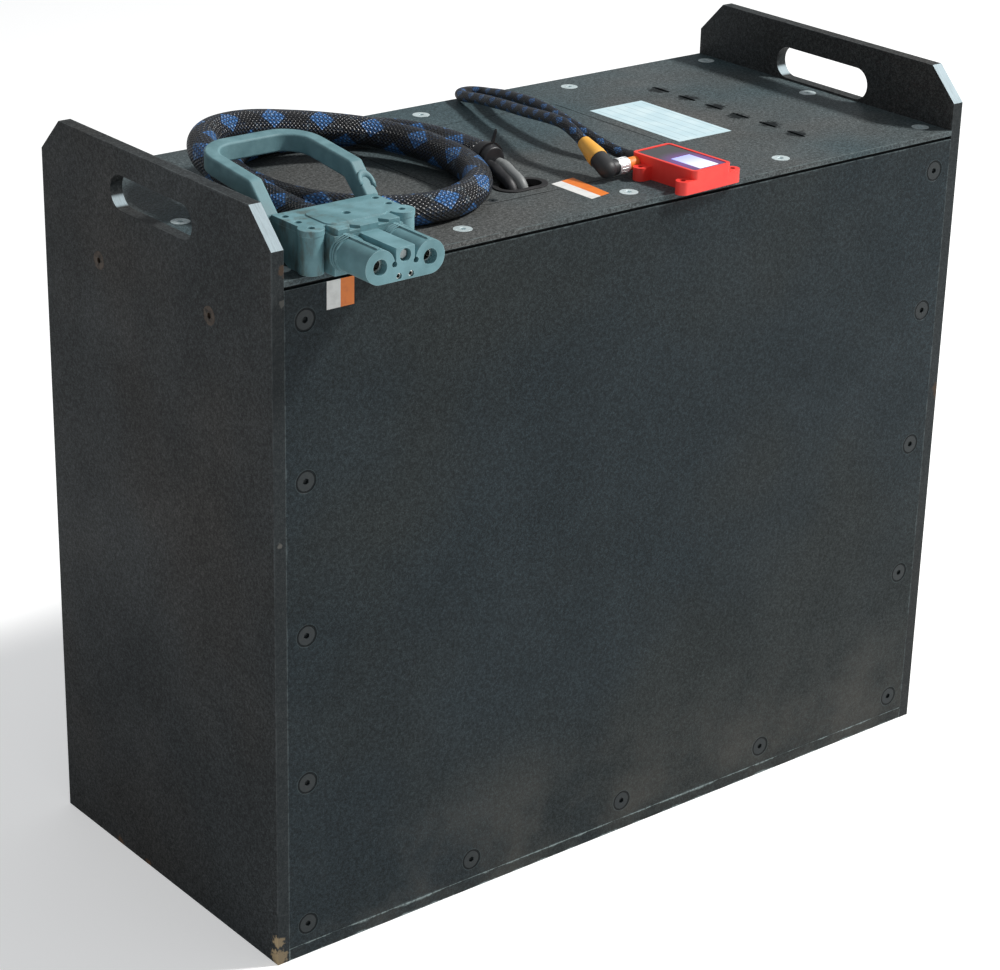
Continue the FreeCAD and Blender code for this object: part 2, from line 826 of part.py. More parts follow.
def make_plug_handle():
    """Handle loop: a flat band seen from above, bent upward in side view."""
    tip = plug_rear + handle_reach
    root = lid_top + handle_root
    kink_y = plug_rear + handle_kink_run
    side = [
        (plug_rear, root), (plug_rear, root + handle_height),
        (kink_y, root + handle_height + handle_kink_rise),
        (tip, root + handle_height + handle_tip_rise), (tip, root + handle_tip_rise),
        (kink_y + handle_height / 2, root + handle_kink_rise), (plug_rear + 6, root),
    ]
    corners = [V(plug_x - handle_half, y, z) for y, z in side]
    bent = Part.Face(Part.makePolygon(corners + corners[:1])).extrude(V(2 * handle_half, 0, 0))
    low = root - 1
    high = root + handle_height + handle_tip_rise + 1
    loop = handle_outline(handle_half, tip, handle_corner, low, high)
    hole = handle_outline(handle_half - handle_band, tip - handle_band,
                          handle_corner - handle_band, low, high)
    return bent.common(loop.cut(hole))


def handle_outline(half, tip, corner, low, high):
    """Upright block behind the plug with its two far corners rounded."""
    block = box(plug_x - half, plug_x + half, plug_rear, tip, low, high)
    far = [e for e in block.Edges if abs(e.tangentAt(e.FirstParameter).z) > 0.9
           and e.BoundBox.YMin > tip - 1]
    return block.makeFillet(corner, far)


def make_main_contacts():
    """Two silvered contact sleeves deep in the barrels."""
    tip = plug_front - barrel_length
    outer = barrel_bore - 2 * fit_clearance
    sleeves = []
    for centre in barrel_centres():
        start = V(centre.x, tip + contact_recess, plug_z)
        sleeves.append(rod(start, Y_AXIS, outer, contact_length).cut(
            rod(start, Y_AXIS, contact_bore, contact_length - 4)))
    return Part.makeCompound(sleeves)


def make_pilot_contacts():
    """Two small metal sleeves low in the bridge."""
    tip = plug_front - barrel_length
    outer = pilot_bore - 2 * fit_clearance
    sleeves = []
    for side in (-1, 1):
        start = V(plug_x + side * pilot_x, tip + 1.5, plug_z - pilot_drop)
        reach = pilot_depth - 1.5
        sleeves.append(rod(start, Y_AXIS, outer, reach).cut(rod(start, Y_AXIS, 3.0, reach - 3)))
    return Part.makeCompound(sleeves)


def make_coding_pin():
    """Pale six-sided voltage coding pin on its round foot."""
    tip = plug_front - barrel_length
    foot = V(plug_x, tip + coding_depth - 6, plug_z + coding_rise)
    start = V(plug_x, tip + 4, plug_z + coding_rise)
    pin = hexagon(start, Y_AXIS, coding_pin * 0.86, coding_depth - 8)
    return pin.fuse(rod(foot, Y_AXIS, coding_bore - 2 * fit_clearance, 6.0))


def display_placed(shape):
    """Display piece turned and moved from its own frame to its place on the lid."""
    shape.rotate(V(0, 0, 0), Z_AXIS, display_yaw)
    shape.translate(V(display_x, display_y, lid_top))
    return shape


def lug_places():
    """Corner lugs in the display's own frame."""
    return [(x, y) for x in (-lug_x, lug_x) for y in (lug_front_y, lug_rear_y)]


def make_display_case():
    """Red moulded case with round corners, four lugs and a recess for the bezel."""
    case = rounded_slab(display_half_x, display_half_y, display_corner, 0, display_height)
    webs = []
    for x, y in lug_places():
        webs.append(rod(V(x, y, 0), Z_AXIS, 2 * lug_radius, lug_height))
        webs.append(box(min(x, 0), max(x, 0), y - lug_radius, y + lug_radius, 0, lug_height))
    recess = rounded_slab(display_half_x - bezel_margin, display_half_y - bezel_margin,
                          display_corner - 2, display_height - bezel_depth, display_height)
    screws = [rod(V(x, y, lug_height - 4), Z_AXIS, lug_screw + 2 * fit_clearance, 4.0)
              for x, y in lug_places()]
    return display_placed(case.fuse(webs).cut([recess] + screws).removeSplitter())


def make_display_bezel():
    """Black front panel with the window for the screen."""
    floor = display_height - bezel_depth
    top = display_height - bezel_sink
    margin = bezel_margin + fit_clearance
    panel = rounded_slab(display_half_x - margin, display_half_y - margin, display_corner - 2,
                         floor, top)
    window = box(-screen_half_x, screen_half_x, screen_front_y, screen_rear_y,
                 top - screen_thick, top)
    return display_placed(panel.cut(window))


def make_display_screen():
    """Screen glass in the bezel's window."""
    top = display_height - bezel_sink
    glass = box(-screen_half_x, screen_half_x, screen_front_y, screen_rear_y,
                top - screen_thick, top + screen_rise)
    return display_placed(glass)


def make_display_screws():
    """Small screws in the display's lugs."""
    screws = []
    for x, y in lug_places():
        head = rod(V(x, y, lug_height - 4), Z_AXIS, lug_screw, 3.0)
        screws.append(head.cut(hexagon(V(x, y, lug_height - 2.4), Z_AXIS, 2.5, 1.4)))
    return display_placed(Part.makeCompound(screws))


def make_display_socket():
    """Orange socket collar on the display's left wall."""
    start = V(-display_half_x, socket_y, socket_rise)
    collar = rod(start, X_AXIS * -1, socket_diameter, socket_length)
    return display_placed(collar)


def make_coupling_nut():
    """Ribbed metal nut of the right-angle plug, screwed home on the socket."""
    start = V(-display_half_x - socket_length, socket_y, socket_rise)
    nut = rod(start, X_AXIS * -1, nut_diameter, nut_length)
    grooves = []
    for index in range(nut_ribs):
        turn = 2 * math.pi * index / nut_ribs
        y = socket_y + nut_diameter / 2 * math.cos(turn)
        z = socket_rise + nut_diameter / 2 * math.sin(turn)
        grooves.append(rod(V(start.x - 2, y, z), X_AXIS * -1, 2 * nut_rib_depth, nut_length - 4))
    return display_placed(nut.cut(grooves))


def elbow_corner():
    """Point where the right-angle plug turns, in the tray's frame."""
    turn = math.radians(display_yaw)
    x = -display_half_x - socket_length - nut_length - elbow_reach
    return V(display_x + x * math.cos(turn) - socket_y * math.sin(turn),
             display_y + x * math.sin(turn) + socket_y * math.cos(turn), lid_top + socket_rise)


def boot_end():
    """Rear end of the yellow boot, where its lead comes out, taken from the display's place."""
    return V(display_x + boot_end_x, display_y + boot_end_y, lid_top + boot_end_rise)


def boot_axis():
    """Direction of the right-angle plug's body, from the boot towards its corner."""
    axis = elbow_corner() - boot_end()
    axis.normalize()
    return axis


def make_data_plug_body():
    """Black elbow: a short neck behind the nut and the body towards the boot."""
    corner = elbow_corner()
    axis = boot_axis()
    turn = math.radians(display_yaw)
    neck = rod(corner, V(math.cos(turn), math.sin(turn), 0), elbow_diameter, elbow_reach)
    knee = Part.makeSphere(body_diameter / 2, corner)
    reach = (corner - boot_end()).Length - boot_length
    body = rod(corner, axis * -1, body_diameter, reach)
    return body.fuse([neck, knee]).removeSplitter()


def make_data_plug_boot():
    """Tapered yellow bend relief between the plug's body and its lead."""
    end = boot_end()
    axis = boot_axis()
    taper = Part.makeCone(data_diameter / 2 + 1.0, body_diameter / 2 + 0.6, boot_length - 5,
                          end, axis)
    skirt = rod(end + axis * (boot_length - 5), axis, body_diameter + 1.2, 5.0)
    return taper.fuse(skirt).removeSplitter()


def make_display_gland():
    """Tapered bend relief where the lead leaves the display's rear wall."""
    start = V(gland_x, display_half_y, gland_rise)
    gland = Part.makeCone(gland_diameter / 2, data_diameter / 2 + 0.6, gland_length, start, Y_AXIS)
    return display_placed(gland)


def make_rating_label():
    """Thin label lying on the lid."""
    return box(label_x - label_half_x, label_x + label_half_x,
               label_y - label_half_y, label_y + label_half_y, lid_top, lid_top + film_thick)


def make_lid_seal():
    """Seal sticker across the hatch's front edge, slightly turned."""
    corners = [(-42, -94.5), (-14, -90.5), (-17.5, -144), (-41, -148)]
    return slab(corners, lid_top, lid_top + film_thick)


def make_panel_seal():
    """Seal sticker on the front panel below the plug, ending at the lid's edge."""
    middle = plug_x - seal_shift
    return box(middle - seal_length / 2, middle + seal_length / 2,
               -half_depth - film_thick, -half_depth, frame_top - seal_drop, frame_top)


parts = {
    "base_plate": box(-inner_x, inner_x, -half_depth, half_depth, 0, base_thick),
    "end_plate_left": make_end_plate(-1),
    "end_plate_right": make_end_plate(1),
    "front_panel": make_panel(True),
    "back_panel": make_panel(False),
    "lid": make_lid(),
    "lid_gasket": make_gasket(),
    "service_hatch": make_hatch(),
    "hatch_ledge": make_hatch_ledge(),
    "cable_grommet": make_grommet(),
    "panel_screws": Part.makeCompound([
        m8_screws(panel_screw_points(True), Y_AXIS),
        m8_screws(panel_screw_points(False), Y_AXIS * -1)]),
    "lid_screws": m8_screws(lid_screw_points(), Z_AXIS * -1),
    "end_plate_screws": Part.makeCompound([
        m8_screws(end_screw_points(-1), X_AXIS),
        m8_screws(end_screw_points(1), X_AXIS * -1)]),
    "hatch_screws": Part.makeCompound([
        sunk_screw(m5_head, m5_shank, m5_length, m5_key, point, Z_AXIS * -1)
        for point in hatch_screw_points()]),
    "lower_board": make_board(lower_board_z),
    "cells_lower": make_cells(lower_cell_z),
    "middle_board": make_board(middle_board_z),
    "cells_upper": make_cells(upper_cell_z),
    "busbars": Part.makeCompound([make_busbars(lower_cell_z), make_busbars(upper_cell_z)]),
    "upper_board": make_board(upper_board_z),
    "tie_rods": make_tie_rods(),
    "terminal_block": make_terminal_block(),
    "main_contactor": make_contactor(),
    "main_fuse": make_fuse(),
    "cell_monitor": make_monitor(),
    "lead_tail_grey": make_tail(1),
    "lead_tail_black": make_tail(-1),
    "lead_tail_boot": make_tail_boot(),
    "power_lead": round_tube(power_route, lead_diameter, "power lead"),
    "lead_plug_boot": make_plug_boot(),
    "plug_housing": make_plug_housing(),
    "plug_cover": make_plug_cover(),
    "plug_handle": make_plug_handle(),
    "plug_main_contacts": make_main_contacts(),
    "plug_pilot_contacts": make_pilot_contacts(),
    "plug_coding_pin": make_coding_pin(),
    "display_case": make_display_case(),
    "display_bezel": make_display_bezel(),
    "display_screen": make_display_screen(),
    "display_screws": make_display_screws(),
    "display_socket": make_display_socket(),
    "display_gland": make_display_gland(),
    "data_lead": round_tube(data_route, data_diameter, "data lead"),
    "data_plug_boot": make_data_plug_boot(),
    "data_plug_body": make_data_plug_body(),
    "data_plug_nut": make_coupling_nut(),
    "rating_label": make_rating_label(),
    "lid_seal": make_lid_seal(),
    "panel_seal": make_panel_seal(),
}
parts.update(make_frame())

os.makedirs("parts", exist_ok=True)
for name, shape in parts.items():
    shape.exportStep("parts/" + name + ".step")
print(len(parts), "parts")
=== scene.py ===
import json
import math

import bpy
import numpy as np
from mathutils import Matrix, Vector

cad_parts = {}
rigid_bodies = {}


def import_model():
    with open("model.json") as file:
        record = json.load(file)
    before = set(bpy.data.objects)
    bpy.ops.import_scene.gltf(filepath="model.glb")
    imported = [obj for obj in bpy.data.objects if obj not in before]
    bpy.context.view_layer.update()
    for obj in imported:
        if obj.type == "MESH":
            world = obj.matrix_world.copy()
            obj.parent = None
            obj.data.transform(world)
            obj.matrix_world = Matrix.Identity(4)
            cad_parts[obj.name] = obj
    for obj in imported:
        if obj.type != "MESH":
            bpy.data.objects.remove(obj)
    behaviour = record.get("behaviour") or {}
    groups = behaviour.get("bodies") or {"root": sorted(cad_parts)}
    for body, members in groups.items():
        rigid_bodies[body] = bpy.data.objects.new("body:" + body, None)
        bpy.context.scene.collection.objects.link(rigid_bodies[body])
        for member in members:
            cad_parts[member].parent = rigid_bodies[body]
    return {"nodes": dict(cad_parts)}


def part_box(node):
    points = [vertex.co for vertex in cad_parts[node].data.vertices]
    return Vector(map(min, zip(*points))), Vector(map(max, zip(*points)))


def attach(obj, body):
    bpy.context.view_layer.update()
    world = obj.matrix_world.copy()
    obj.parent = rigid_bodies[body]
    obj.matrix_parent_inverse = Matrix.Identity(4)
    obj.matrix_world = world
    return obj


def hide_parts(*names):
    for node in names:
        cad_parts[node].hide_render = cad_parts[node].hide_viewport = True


# The file starts empty, and the imported battery comes in as the fixed frame.
for thing in list(bpy.data.objects):
    bpy.data.objects.remove(thing)
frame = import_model()
nodes = frame["nodes"]
scene = bpy.context.scene
scene.view_settings.view_transform = "Standard"
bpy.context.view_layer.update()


# The studio: a camera to the front left of the tray and above it, a pale floor, one soft
# lamp high on the right and slightly in front, and an even pale surround.
camera_place = Vector((-1.5484, -1.8762, 1.3358))
camera_yaw = 0.6854
camera_pitch = 0.4040
camera_roll = 0.0250
camera_lens = 99.3


def camera_turned(yaw, pitch, roll):
    """Camera axes: look ahead by yaw from +Y towards +X and pitch down, then roll about it."""
    ahead = Vector((math.sin(yaw) * math.cos(pitch), math.cos(yaw) * math.cos(pitch),
                    -math.sin(pitch)))
    level = Vector((math.cos(yaw), -math.sin(yaw), 0.0))
    above = level.cross(ahead)
    right = level * math.cos(roll) + above * math.sin(roll)
    up = above * math.cos(roll) - level * math.sin(roll)
    return Matrix((right, up, -ahead)).transposed().to_4x4()


camera = bpy.data.objects.new("camera", bpy.data.cameras.new("camera"))
camera.data.lens = camera_lens
camera.data.clip_end = 60.0
camera.matrix_world = Matrix.Translation(camera_place) @ camera_turned(
    camera_yaw, camera_pitch, camera_roll)
scene.collection.objects.link(camera)
scene.camera = camera


def add(tree, kind, sockets=None, **settings):
    """One shader node with its settings; a socket gets a value or another node's output."""
    made = tree.nodes.new("ShaderNode" + kind)
    for name, value in settings.items():
        setattr(made, name, value)
    for key, value in (sockets or {}).items():
        if isinstance(value, bpy.types.NodeSocket):
            tree.links.new(value, made.inputs[key])
        else:
            made.inputs[key].default_value = value
    return made


def sums(tree, operation, first, second=0.0, third=0.0):
    """Output of one Math node."""
    return add(tree, "Math", {0: first, 1: second, 2: third}, operation=operation).outputs[0]


def mixed(tree, share, first, second):
    """Output of one colour Mix node."""
    return add(tree, "Mix", {0: share, 6: first, 7: second}, data_type="RGBA").outputs[2]


def ramped(tree, value, low, high, start=0.0, end=1.0):
    """Value brought from low..high to start..end with a smooth step, clamped."""
    return add(tree, "MapRange", {0: value, 1: low, 2: high, 3: start, 4: end},
               interpolation_type="SMOOTHSTEP").outputs[0]


def finish_of(name, **plain):
    """Material with a Principled shader whose plain sockets are set; returns it and its nodes."""
    made = bpy.data.materials.new(name)
    made.use_nodes = True
    shader = made.node_tree.nodes["Principled BSDF"]
    for key, value in plain.items():
        shader.inputs[key.replace("_", " ")].default_value = value
    return made, made.node_tree, shader


def place_of(tree):
    """Object coordinates, in metres in the tray's frame."""
    return add(tree, "TexCoord").outputs["Object"]


def noise(tree, scale, detail=3.0, roughness=0.55, place=None):
    """Noise value on Object coordinates."""
    return add(tree, "TexNoise", {"Vector": place or place_of(tree), "Scale": scale,
                                  "Detail": detail, "Roughness": roughness}).outputs[0]


def bumped(tree, shader, height, distance, strength=1.0):
    """Feeds a height to the shader's normal."""
    bump = add(tree, "Bump", {"Height": height, "Distance": distance, "Strength": strength})
    tree.links.new(bump.outputs[0], shader.inputs["Normal"])


def meshed(name, points, faces, smooth=True):
    """Object at the origin from an array of points and a list of faces."""
    mesh = bpy.data.meshes.new(name)
    mesh.from_pydata(np.asarray(points).tolist(), [], faces)
    mesh.polygons.foreach_set("use_smooth", [smooth] * len(mesh.polygons))
    mesh.validate()
    made = bpy.data.objects.new(name, mesh)
    scene.collection.objects.link(made)
    return made


floor_colour = (0.90, 0.90, 0.90, 1.0)
floor_lift = 0.42
floor_half = 16.0
floor_finish, tree, shader = finish_of("floor_paint", Roughness=0.85, Base_Color=floor_colour,
                                       Specular_IOR_Level=0.1, Emission_Color=floor_colour)
lift = sums(tree, "MULTIPLY", add(tree, "LightPath").outputs["Is Camera Ray"], floor_lift)
tree.links.new(lift, shader.inputs["Emission Strength"])
floor = meshed("floor", [(-floor_half, -floor_half, 0), (floor_half, -floor_half, 0),
                         (floor_half, floor_half, 0), (-floor_half, floor_half, 0)],
               [(0, 1, 2, 3)], smooth=False)
floor.data.materials.append(floor_finish)

world = bpy.data.worlds.new("surround")
world.use_nodes = True
scene.world = world
surround = world.node_tree.nodes["Background"]
surround_colour = (0.94, 0.97, 1.0, 1.0)
surround_strength = 0.36
seen_strength = 1.0
surround.inputs["Color"].default_value = surround_colour
seen = add(world.node_tree, "LightPath")
strength = add(world.node_tree, "MapRange", {0: seen.outputs["Is Camera Ray"], 3: surround_strength,
                                             4: seen_strength})
world.node_tree.links.new(strength.outputs[0], surround.inputs["Strength"])


def lamp(name, place, aim, size, power, colour):
    """Square area lamp that faces a point."""
    light = bpy.data.lights.new(name, "AREA")
    light.size = size
    light.energy = power
    light.color = colour
    made = bpy.data.objects.new(name, light)
    made.matrix_world = Matrix.Translation(place) @ (
        Vector(aim) - Vector(place)).to_track_quat("-Z", "Y").to_matrix().to_4x4()
    scene.collection.objects.link(made)


lamp_place = (2.80, -1.73, 3.80)
lamp_aim = (0, 0, 0.5)
lamp_size = 0.55
lamp_power = 250.0
lamp_colour = (1.0, 0.99, 0.97)
lamp("lamp_right", lamp_place, lamp_aim, lamp_size, lamp_power, lamp_colour)


# Powder coat on the tray's steel: a fine sand texture with paler mottling, rubbed bare along
# the corners. The group works on the piece's own box, so that each plate wears at its edges.
coat_group = bpy.data.node_groups.new("powder_coat", "ShaderNodeTree")
for name, kind in (("Coat", "NodeSocketColor"), ("Shade", "NodeSocketColor"),
                   ("Rubbed", "NodeSocketColor"), ("Dust", "NodeSocketFloat"),
                   ("Centre", "NodeSocketVector"), ("Half", "NodeSocketVector"),
                   ("Rub width", "NodeSocketFloat"), ("Mottle", "NodeSocketFloat")):
    coat_group.interface.new_socket(name, in_out="INPUT", socket_type=kind)
for name, kind in (("Color", "NodeSocketColor"), ("Roughness", "NodeSocketFloat"),
                   ("Height", "NodeSocketFloat")):
    coat_group.interface.new_socket(name, in_out="OUTPUT", socket_type=kind)
tree = coat_group
given = tree.nodes.new("NodeGroupInput")
result = tree.nodes.new("NodeGroupOutput")
here = place_of(tree)
grain = noise(tree, 900.0, 2.0, 0.6, here)
speck = noise(tree, 330.0, 3.0, 0.65, here)
drift = noise(tree, 3.2, 3.0, 0.5, here)
cloud = noise(tree, 9.0, 5.0, 0.6, here)
streak = noise(tree, 34.0, 4.0, 0.6, here)
offset = add(tree, "VectorMath", {0: here, 1: given.outputs["Centre"]}, operation="SUBTRACT")
spread = add(tree, "VectorMath", {0: offset.outputs[0]}, operation="ABSOLUTE")
inside = add(tree, "VectorMath", {0: given.outputs["Half"], 1: spread.outputs[0]},
             operation="SUBTRACT")
gap = add(tree, "SeparateXYZ", {0: inside.outputs[0]})
near_xy = sums(tree, "MINIMUM", gap.outputs[0], gap.outputs[1])
near_yz = sums(tree, "MINIMUM", gap.outputs[1], gap.outputs[2])
near_xz = sums(tree, "MINIMUM", gap.outputs[0], gap.outputs[2])
off_edge = sums(tree, "MAXIMUM", sums(tree, "MAXIMUM", near_xy, near_yz), near_xz)
uneven = sums(tree, "MULTIPLY", ramped(tree, streak, 0.36, 0.72, 0.15, 2.0),
              given.outputs["Rub width"])
rub = sums(tree, "SUBTRACT", 1.0, sums(tree, "DIVIDE", off_edge, uneven))
rub = sums(tree, "MULTIPLY", ramped(tree, rub, 0.0, 1.0), ramped(tree, speck, 0.3, 0.6, 0.25, 0.9))
light_grain = ramped(tree, grain, 0.34, 0.70, 0.60, 1.45)
light_speck = ramped(tree, speck, 0.30, 0.74, 0.62, 1.50)
light_cloud = sums(tree, "MULTIPLY_ADD", sums(tree, "SUBTRACT", cloud, 0.5),
                   given.outputs["Mottle"], 1.0)
level = sums(tree, "MULTIPLY", sums(tree, "MULTIPLY", light_grain, light_speck), light_cloud)
tint = mixed(tree, ramped(tree, drift, 0.38, 0.62), given.outputs["Coat"], given.outputs["Shade"])
lit = add(tree, "VectorMath", {0: tint, "Scale": level}, operation="SCALE")
dust_colour = (0.115, 0.105, 0.090, 1.0)
dust_height = 0.16
height_here = add(tree, "SeparateXYZ", {0: here}).outputs[2]
settled = sums(tree, "MULTIPLY", ramped(tree, height_here, 0.0, dust_height, 1.0, 0.0),
               ramped(tree, cloud, 0.35, 0.70))
settled = sums(tree, "MULTIPLY", settled, given.outputs["Dust"])
dusty = mixed(tree, settled, lit.outputs[0], dust_colour)
worn = mixed(tree, rub, dusty, given.outputs["Rubbed"])
tree.links.new(worn, result.inputs["Color"])
tree.links.new(sums(tree, "SUBTRACT", ramped(tree, cloud, 0.3, 0.7, 0.60, 0.50),
                    sums(tree, "MULTIPLY", rub, 0.1)), result.inputs["Roughness"])
tree.links.new(sums(tree, "ADD", grain, sums(tree, "MULTIPLY", speck, 0.8)),
               result.inputs["Height"])


coat_specular = 0.15
coat_grain_depth = 0.0004
chip_raggedness = 1.8


def coated(name, coat, shade, rubbed, box, rub_width=0.0012, mottle=0.5, dust=0.0, chips=()):
    """Powder coat for one plate, whose box gives the edges where it is rubbed. A chip is a
    place, a radius and the colour of what shows through, ragged by noise."""
    made, tree, shader = finish_of(name, Specular_IOR_Level=coat_specular)
    low, high = box
    group = tree.nodes.new("ShaderNodeGroup")
    group.node_tree = coat_group
    values = {"Coat": coat, "Shade": shade, "Dust": dust, "Rubbed": rubbed, "Centre": (low + high) / 2,
              "Half": (high - low) / 2, "Rub width": rub_width, "Mottle": mottle}
    for socket, value in values.items():
        group.inputs[socket].default_value = value
    colour = group.outputs["Color"]
    if chips:
        here = place_of(tree)
        swing = sums(tree, "SUBTRACT", noise(tree, 260.0, 4.0, 0.6, here), 0.5)
        ragged = sums(tree, "MULTIPLY", swing, chip_raggedness)
    for point, radius, bare in chips:
        away = add(tree, "VectorMath", {0: here, 1: point}, operation="DISTANCE").outputs["Value"]
        share = sums(tree, "ADD", sums(tree, "DIVIDE", away, radius), ragged)
        colour = mixed(tree, ramped(tree, share, 0.55, 0.95, 1.0, 0.0), colour, bare)
    tree.links.new(colour, shader.inputs["Base Color"])
    tree.links.new(group.outputs["Roughness"], shader.inputs["Roughness"])
    bumped(tree, shader, group.outputs["Height"], coat_grain_depth, 0.4)
    return made


weld_reach = 0.000005
flat_angle = math.radians(0.6)
corner_angle = math.radians(38.0)


def dressed(name, finish, corner=0.0, steps=2):
    """Gives a CAD node its finish. With a corner radius its loose triangles are joined, flat
    faces made whole and sharp corners rounded, and the flats keep their own normals."""
    piece = nodes[name]
    piece.data.materials.clear()
    piece.data.materials.append(finish)
    if corner:
        weld = piece.modifiers.new("joined", "WELD")
        weld.merge_threshold = weld_reach
        planes = piece.modifiers.new("planes", "DECIMATE")
        planes.decimate_type = "DISSOLVE"
        planes.angle_limit = flat_angle
        round_off = piece.modifiers.new("corner", "BEVEL")
        round_off.width = corner
        round_off.segments = steps
        round_off.limit_method = "ANGLE"
        round_off.angle_limit = corner_angle
        round_off.use_clamp_overlap = True
        round_off.face_strength_mode = "FSTR_ALL"
        flats = piece.modifiers.new("flats", "WEIGHTED_NORMAL")
        flats.use_face_influence = True
        piece.data.polygons.foreach_set("use_smooth", [True] * len(piece.data.polygons))


# The end plates stand above the lid and carry the whole pack by a sling in their slots. They
# are 12 mm steel, sawn to shape with bevelled top corners and coated in charcoal grey.
charcoal = (0.038, 0.043, 0.045, 1.0)
charcoal_shade = (0.044, 0.043, 0.041, 1.0)
charcoal_rub = (0.085, 0.097, 0.10, 1.0)
primer_tan = (0.45, 0.34, 0.20, 1.0)
rust = (0.125, 0.072, 0.040, 1.0)
worn_edge = (0.20, 0.19, 0.17, 1.0)
plate_chips = {
    "left": [
        ((-0.394, -0.1765, 0.006), 0.011, primer_tan),
        ((-0.395, -0.1760, 0.022), 0.008, primer_tan),
        ((-0.395, 0.084, 0.001), 0.007, rust),
        ((-0.395, 0.036, 0.001), 0.006, rust),
        ((-0.3835, -0.1765, 0.636), 0.006, rust),
        ((-0.3845, -0.1765, 0.609), 0.004, worn_edge),
        ((-0.389, -0.1765, 0.4), 0.003, worn_edge),
    ],
    "right": [
        ((0.3945, -0.1765, 0.364), 0.007, rust),
        ((0.3945, -0.1765, 0.357), 0.005, rust),
    ],
}
painted_highlight_pale = (0.40, 0.49, 0.53, 1.0)
shaded_front = (0.010, 0.016, 0.019, 1)
plate_rub = 0.0014
plate_mottle = 0.7
plate_corner = 0.0007


def facing(tree, direction):
    """How squarely a face looks in a direction, 1 where it looks straight along it."""
    normal = add(tree, "NewGeometry").outputs["Normal"]
    return add(tree, "VectorMath", {0: normal, 1: direction}, operation="DOT_PRODUCT").outputs["Value"]


for side in ("left", "right"):
    finish = coated("charcoal_" + side, charcoal, charcoal_shade, charcoal_rub,
                    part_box("end_plate_" + side), plate_rub, plate_mottle, chips=plate_chips[side])
    tree = finish.node_tree
    shader = tree.nodes["Principled BSDF"]
    coat_colour = shader.inputs["Base Color"].links[0].from_socket
    # Faces that look forward and up are painted pale as a painted highlight where the lamp's reflection
    # falls, broken up by saw marks.
    highlit_faces = ramped(tree, facing(tree, (0.0, -0.7071, 0.7071)), 0.90, 0.985)
    # Faces that look straight forward are painted darker, as painted shade.
    painted_front_shade = ramped(tree, facing(tree, (0.0, -1.0, 0.0)), 0.8, 0.98, 0.0, 0.55)
    coat_colour = mixed(tree, painted_front_shade, coat_colour, shaded_front)
    streaks = add(tree, "Mapping", {0: place_of(tree), 3: (1.0, 0.1, 0.1)})
    saw_marks = noise(tree, 700.0, 4.0, 0.6, streaks.outputs[0])
    highlit_faces = sums(tree, "MULTIPLY", highlit_faces, ramped(tree, saw_marks, 0.25, 0.6, 0.75, 1.0))
    tree.links.new(mixed(tree, highlit_faces, coat_colour, painted_highlight_pale), shader.inputs["Base Color"])
    dressed("end_plate_" + side, finish, plate_corner)


# The tray's panels and floor are bolted steel in a bluish graphite coat. Handling has rubbed
# a pale line above the base.
graphite = (0.0175, 0.0265, 0.0315, 1.0)
graphite_shade = (0.0215, 0.0275, 0.0285, 1.0)
graphite_rub = (0.09, 0.115, 0.12, 1.0)
base_rub = (0.34, 0.42, 0.42, 1.0)
screw_column_x = 0.363
screw_low_z = 0.031
screw_column_pitch = 0.140
screw_row_pitch = 0.1815
socket_reach = 0.005
recess_inner = 0.0096
recess_outer = 0.0106
recess_fade = 0.0004
rim_width = 0.0006
recess_depth = 0.0009
painted_recess_shade = (0.003, 0.005, 0.006, 1)
painted_rim_highlight = (0.060, 0.085, 0.090, 1)


def screw_recesses(finish):
    """Dished ring round each panel screw, where the countersink is wider than the head: the ring is
    darkened as painted shade, and its outer rim lightened as a painted highlight.
    """
    tree = finish.node_tree
    shader = tree.nodes["Principled BSDF"]
    spot = add(tree, "SeparateXYZ", {0: place_of(tree)})
    above_row = sums(tree, "SUBTRACT", spot.outputs[2], screw_low_z)
    from_column = sums(tree, "SUBTRACT", sums(tree, "ABSOLUTE", spot.outputs[0]), screw_column_x)
    up_step = sums(tree, "PINGPONG", above_row, screw_column_pitch)
    up = sums(tree, "MINIMUM", up_step, sums(tree, "SUBTRACT", screw_column_pitch, up_step))
    along_step = sums(tree, "PINGPONG", spot.outputs[0], screw_row_pitch)
    along = sums(tree, "MINIMUM", along_step, sums(tree, "SUBTRACT", screw_row_pitch, along_step))
    side = sums(tree, "SQRT", sums(tree, "ADD", sums(tree, "MULTIPLY", from_column, from_column),
                                   sums(tree, "MULTIPLY", up, up)))
    foot = sums(tree, "SQRT", sums(tree, "ADD", sums(tree, "MULTIPLY", along, along),
                                   sums(tree, "MULTIPLY", above_row, above_row)))
    away = sums(tree, "MINIMUM", side, foot)
    ring = sums(tree, "MULTIPLY", sums(tree, "GREATER_THAN", away, socket_reach),
                ramped(tree, away, recess_inner, recess_outer, 1.0, 0.0))
    rim = sums(tree, "MULTIPLY", ramped(tree, away, recess_outer - recess_fade, recess_outer),
               ramped(tree, away, recess_outer, recess_outer + rim_width, 1.0, 0.0))
    colour = shader.inputs["Base Color"].links[0].from_socket
    ringed = mixed(tree, sums(tree, "MULTIPLY", ring, 0.85), colour, painted_recess_shade)
    rimmed = mixed(tree, sums(tree, "MULTIPLY", rim, 0.45), ringed, painted_rim_highlight)
    tree.links.new(rimmed, shader.inputs["Base Color"])
    grain_bump = shader.inputs["Normal"].links[0].from_node
    dish = add(tree, "Bump", {"Height": ring, "Distance": -recess_depth, "Strength": 0.9,
                              "Normal": grain_bump.outputs[0]})
    tree.links.new(dish.outputs[0], shader.inputs["Normal"])


panel_dust = 0.38
panel_corner = 0.0005
for name, rub_colour, rub_width in (("front_panel", graphite_rub, 0.0012),
                                    ("back_panel", graphite_rub, 0.0012),
                                    ("base_plate", base_rub, 0.0018)):
    finish = coated("graphite_" + name, graphite, graphite_shade, rub_colour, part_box(name),
                    rub_width, dust=panel_dust)
    if name != "base_plate":
        screw_recesses(finish)
    dressed(name, finish, panel_corner)
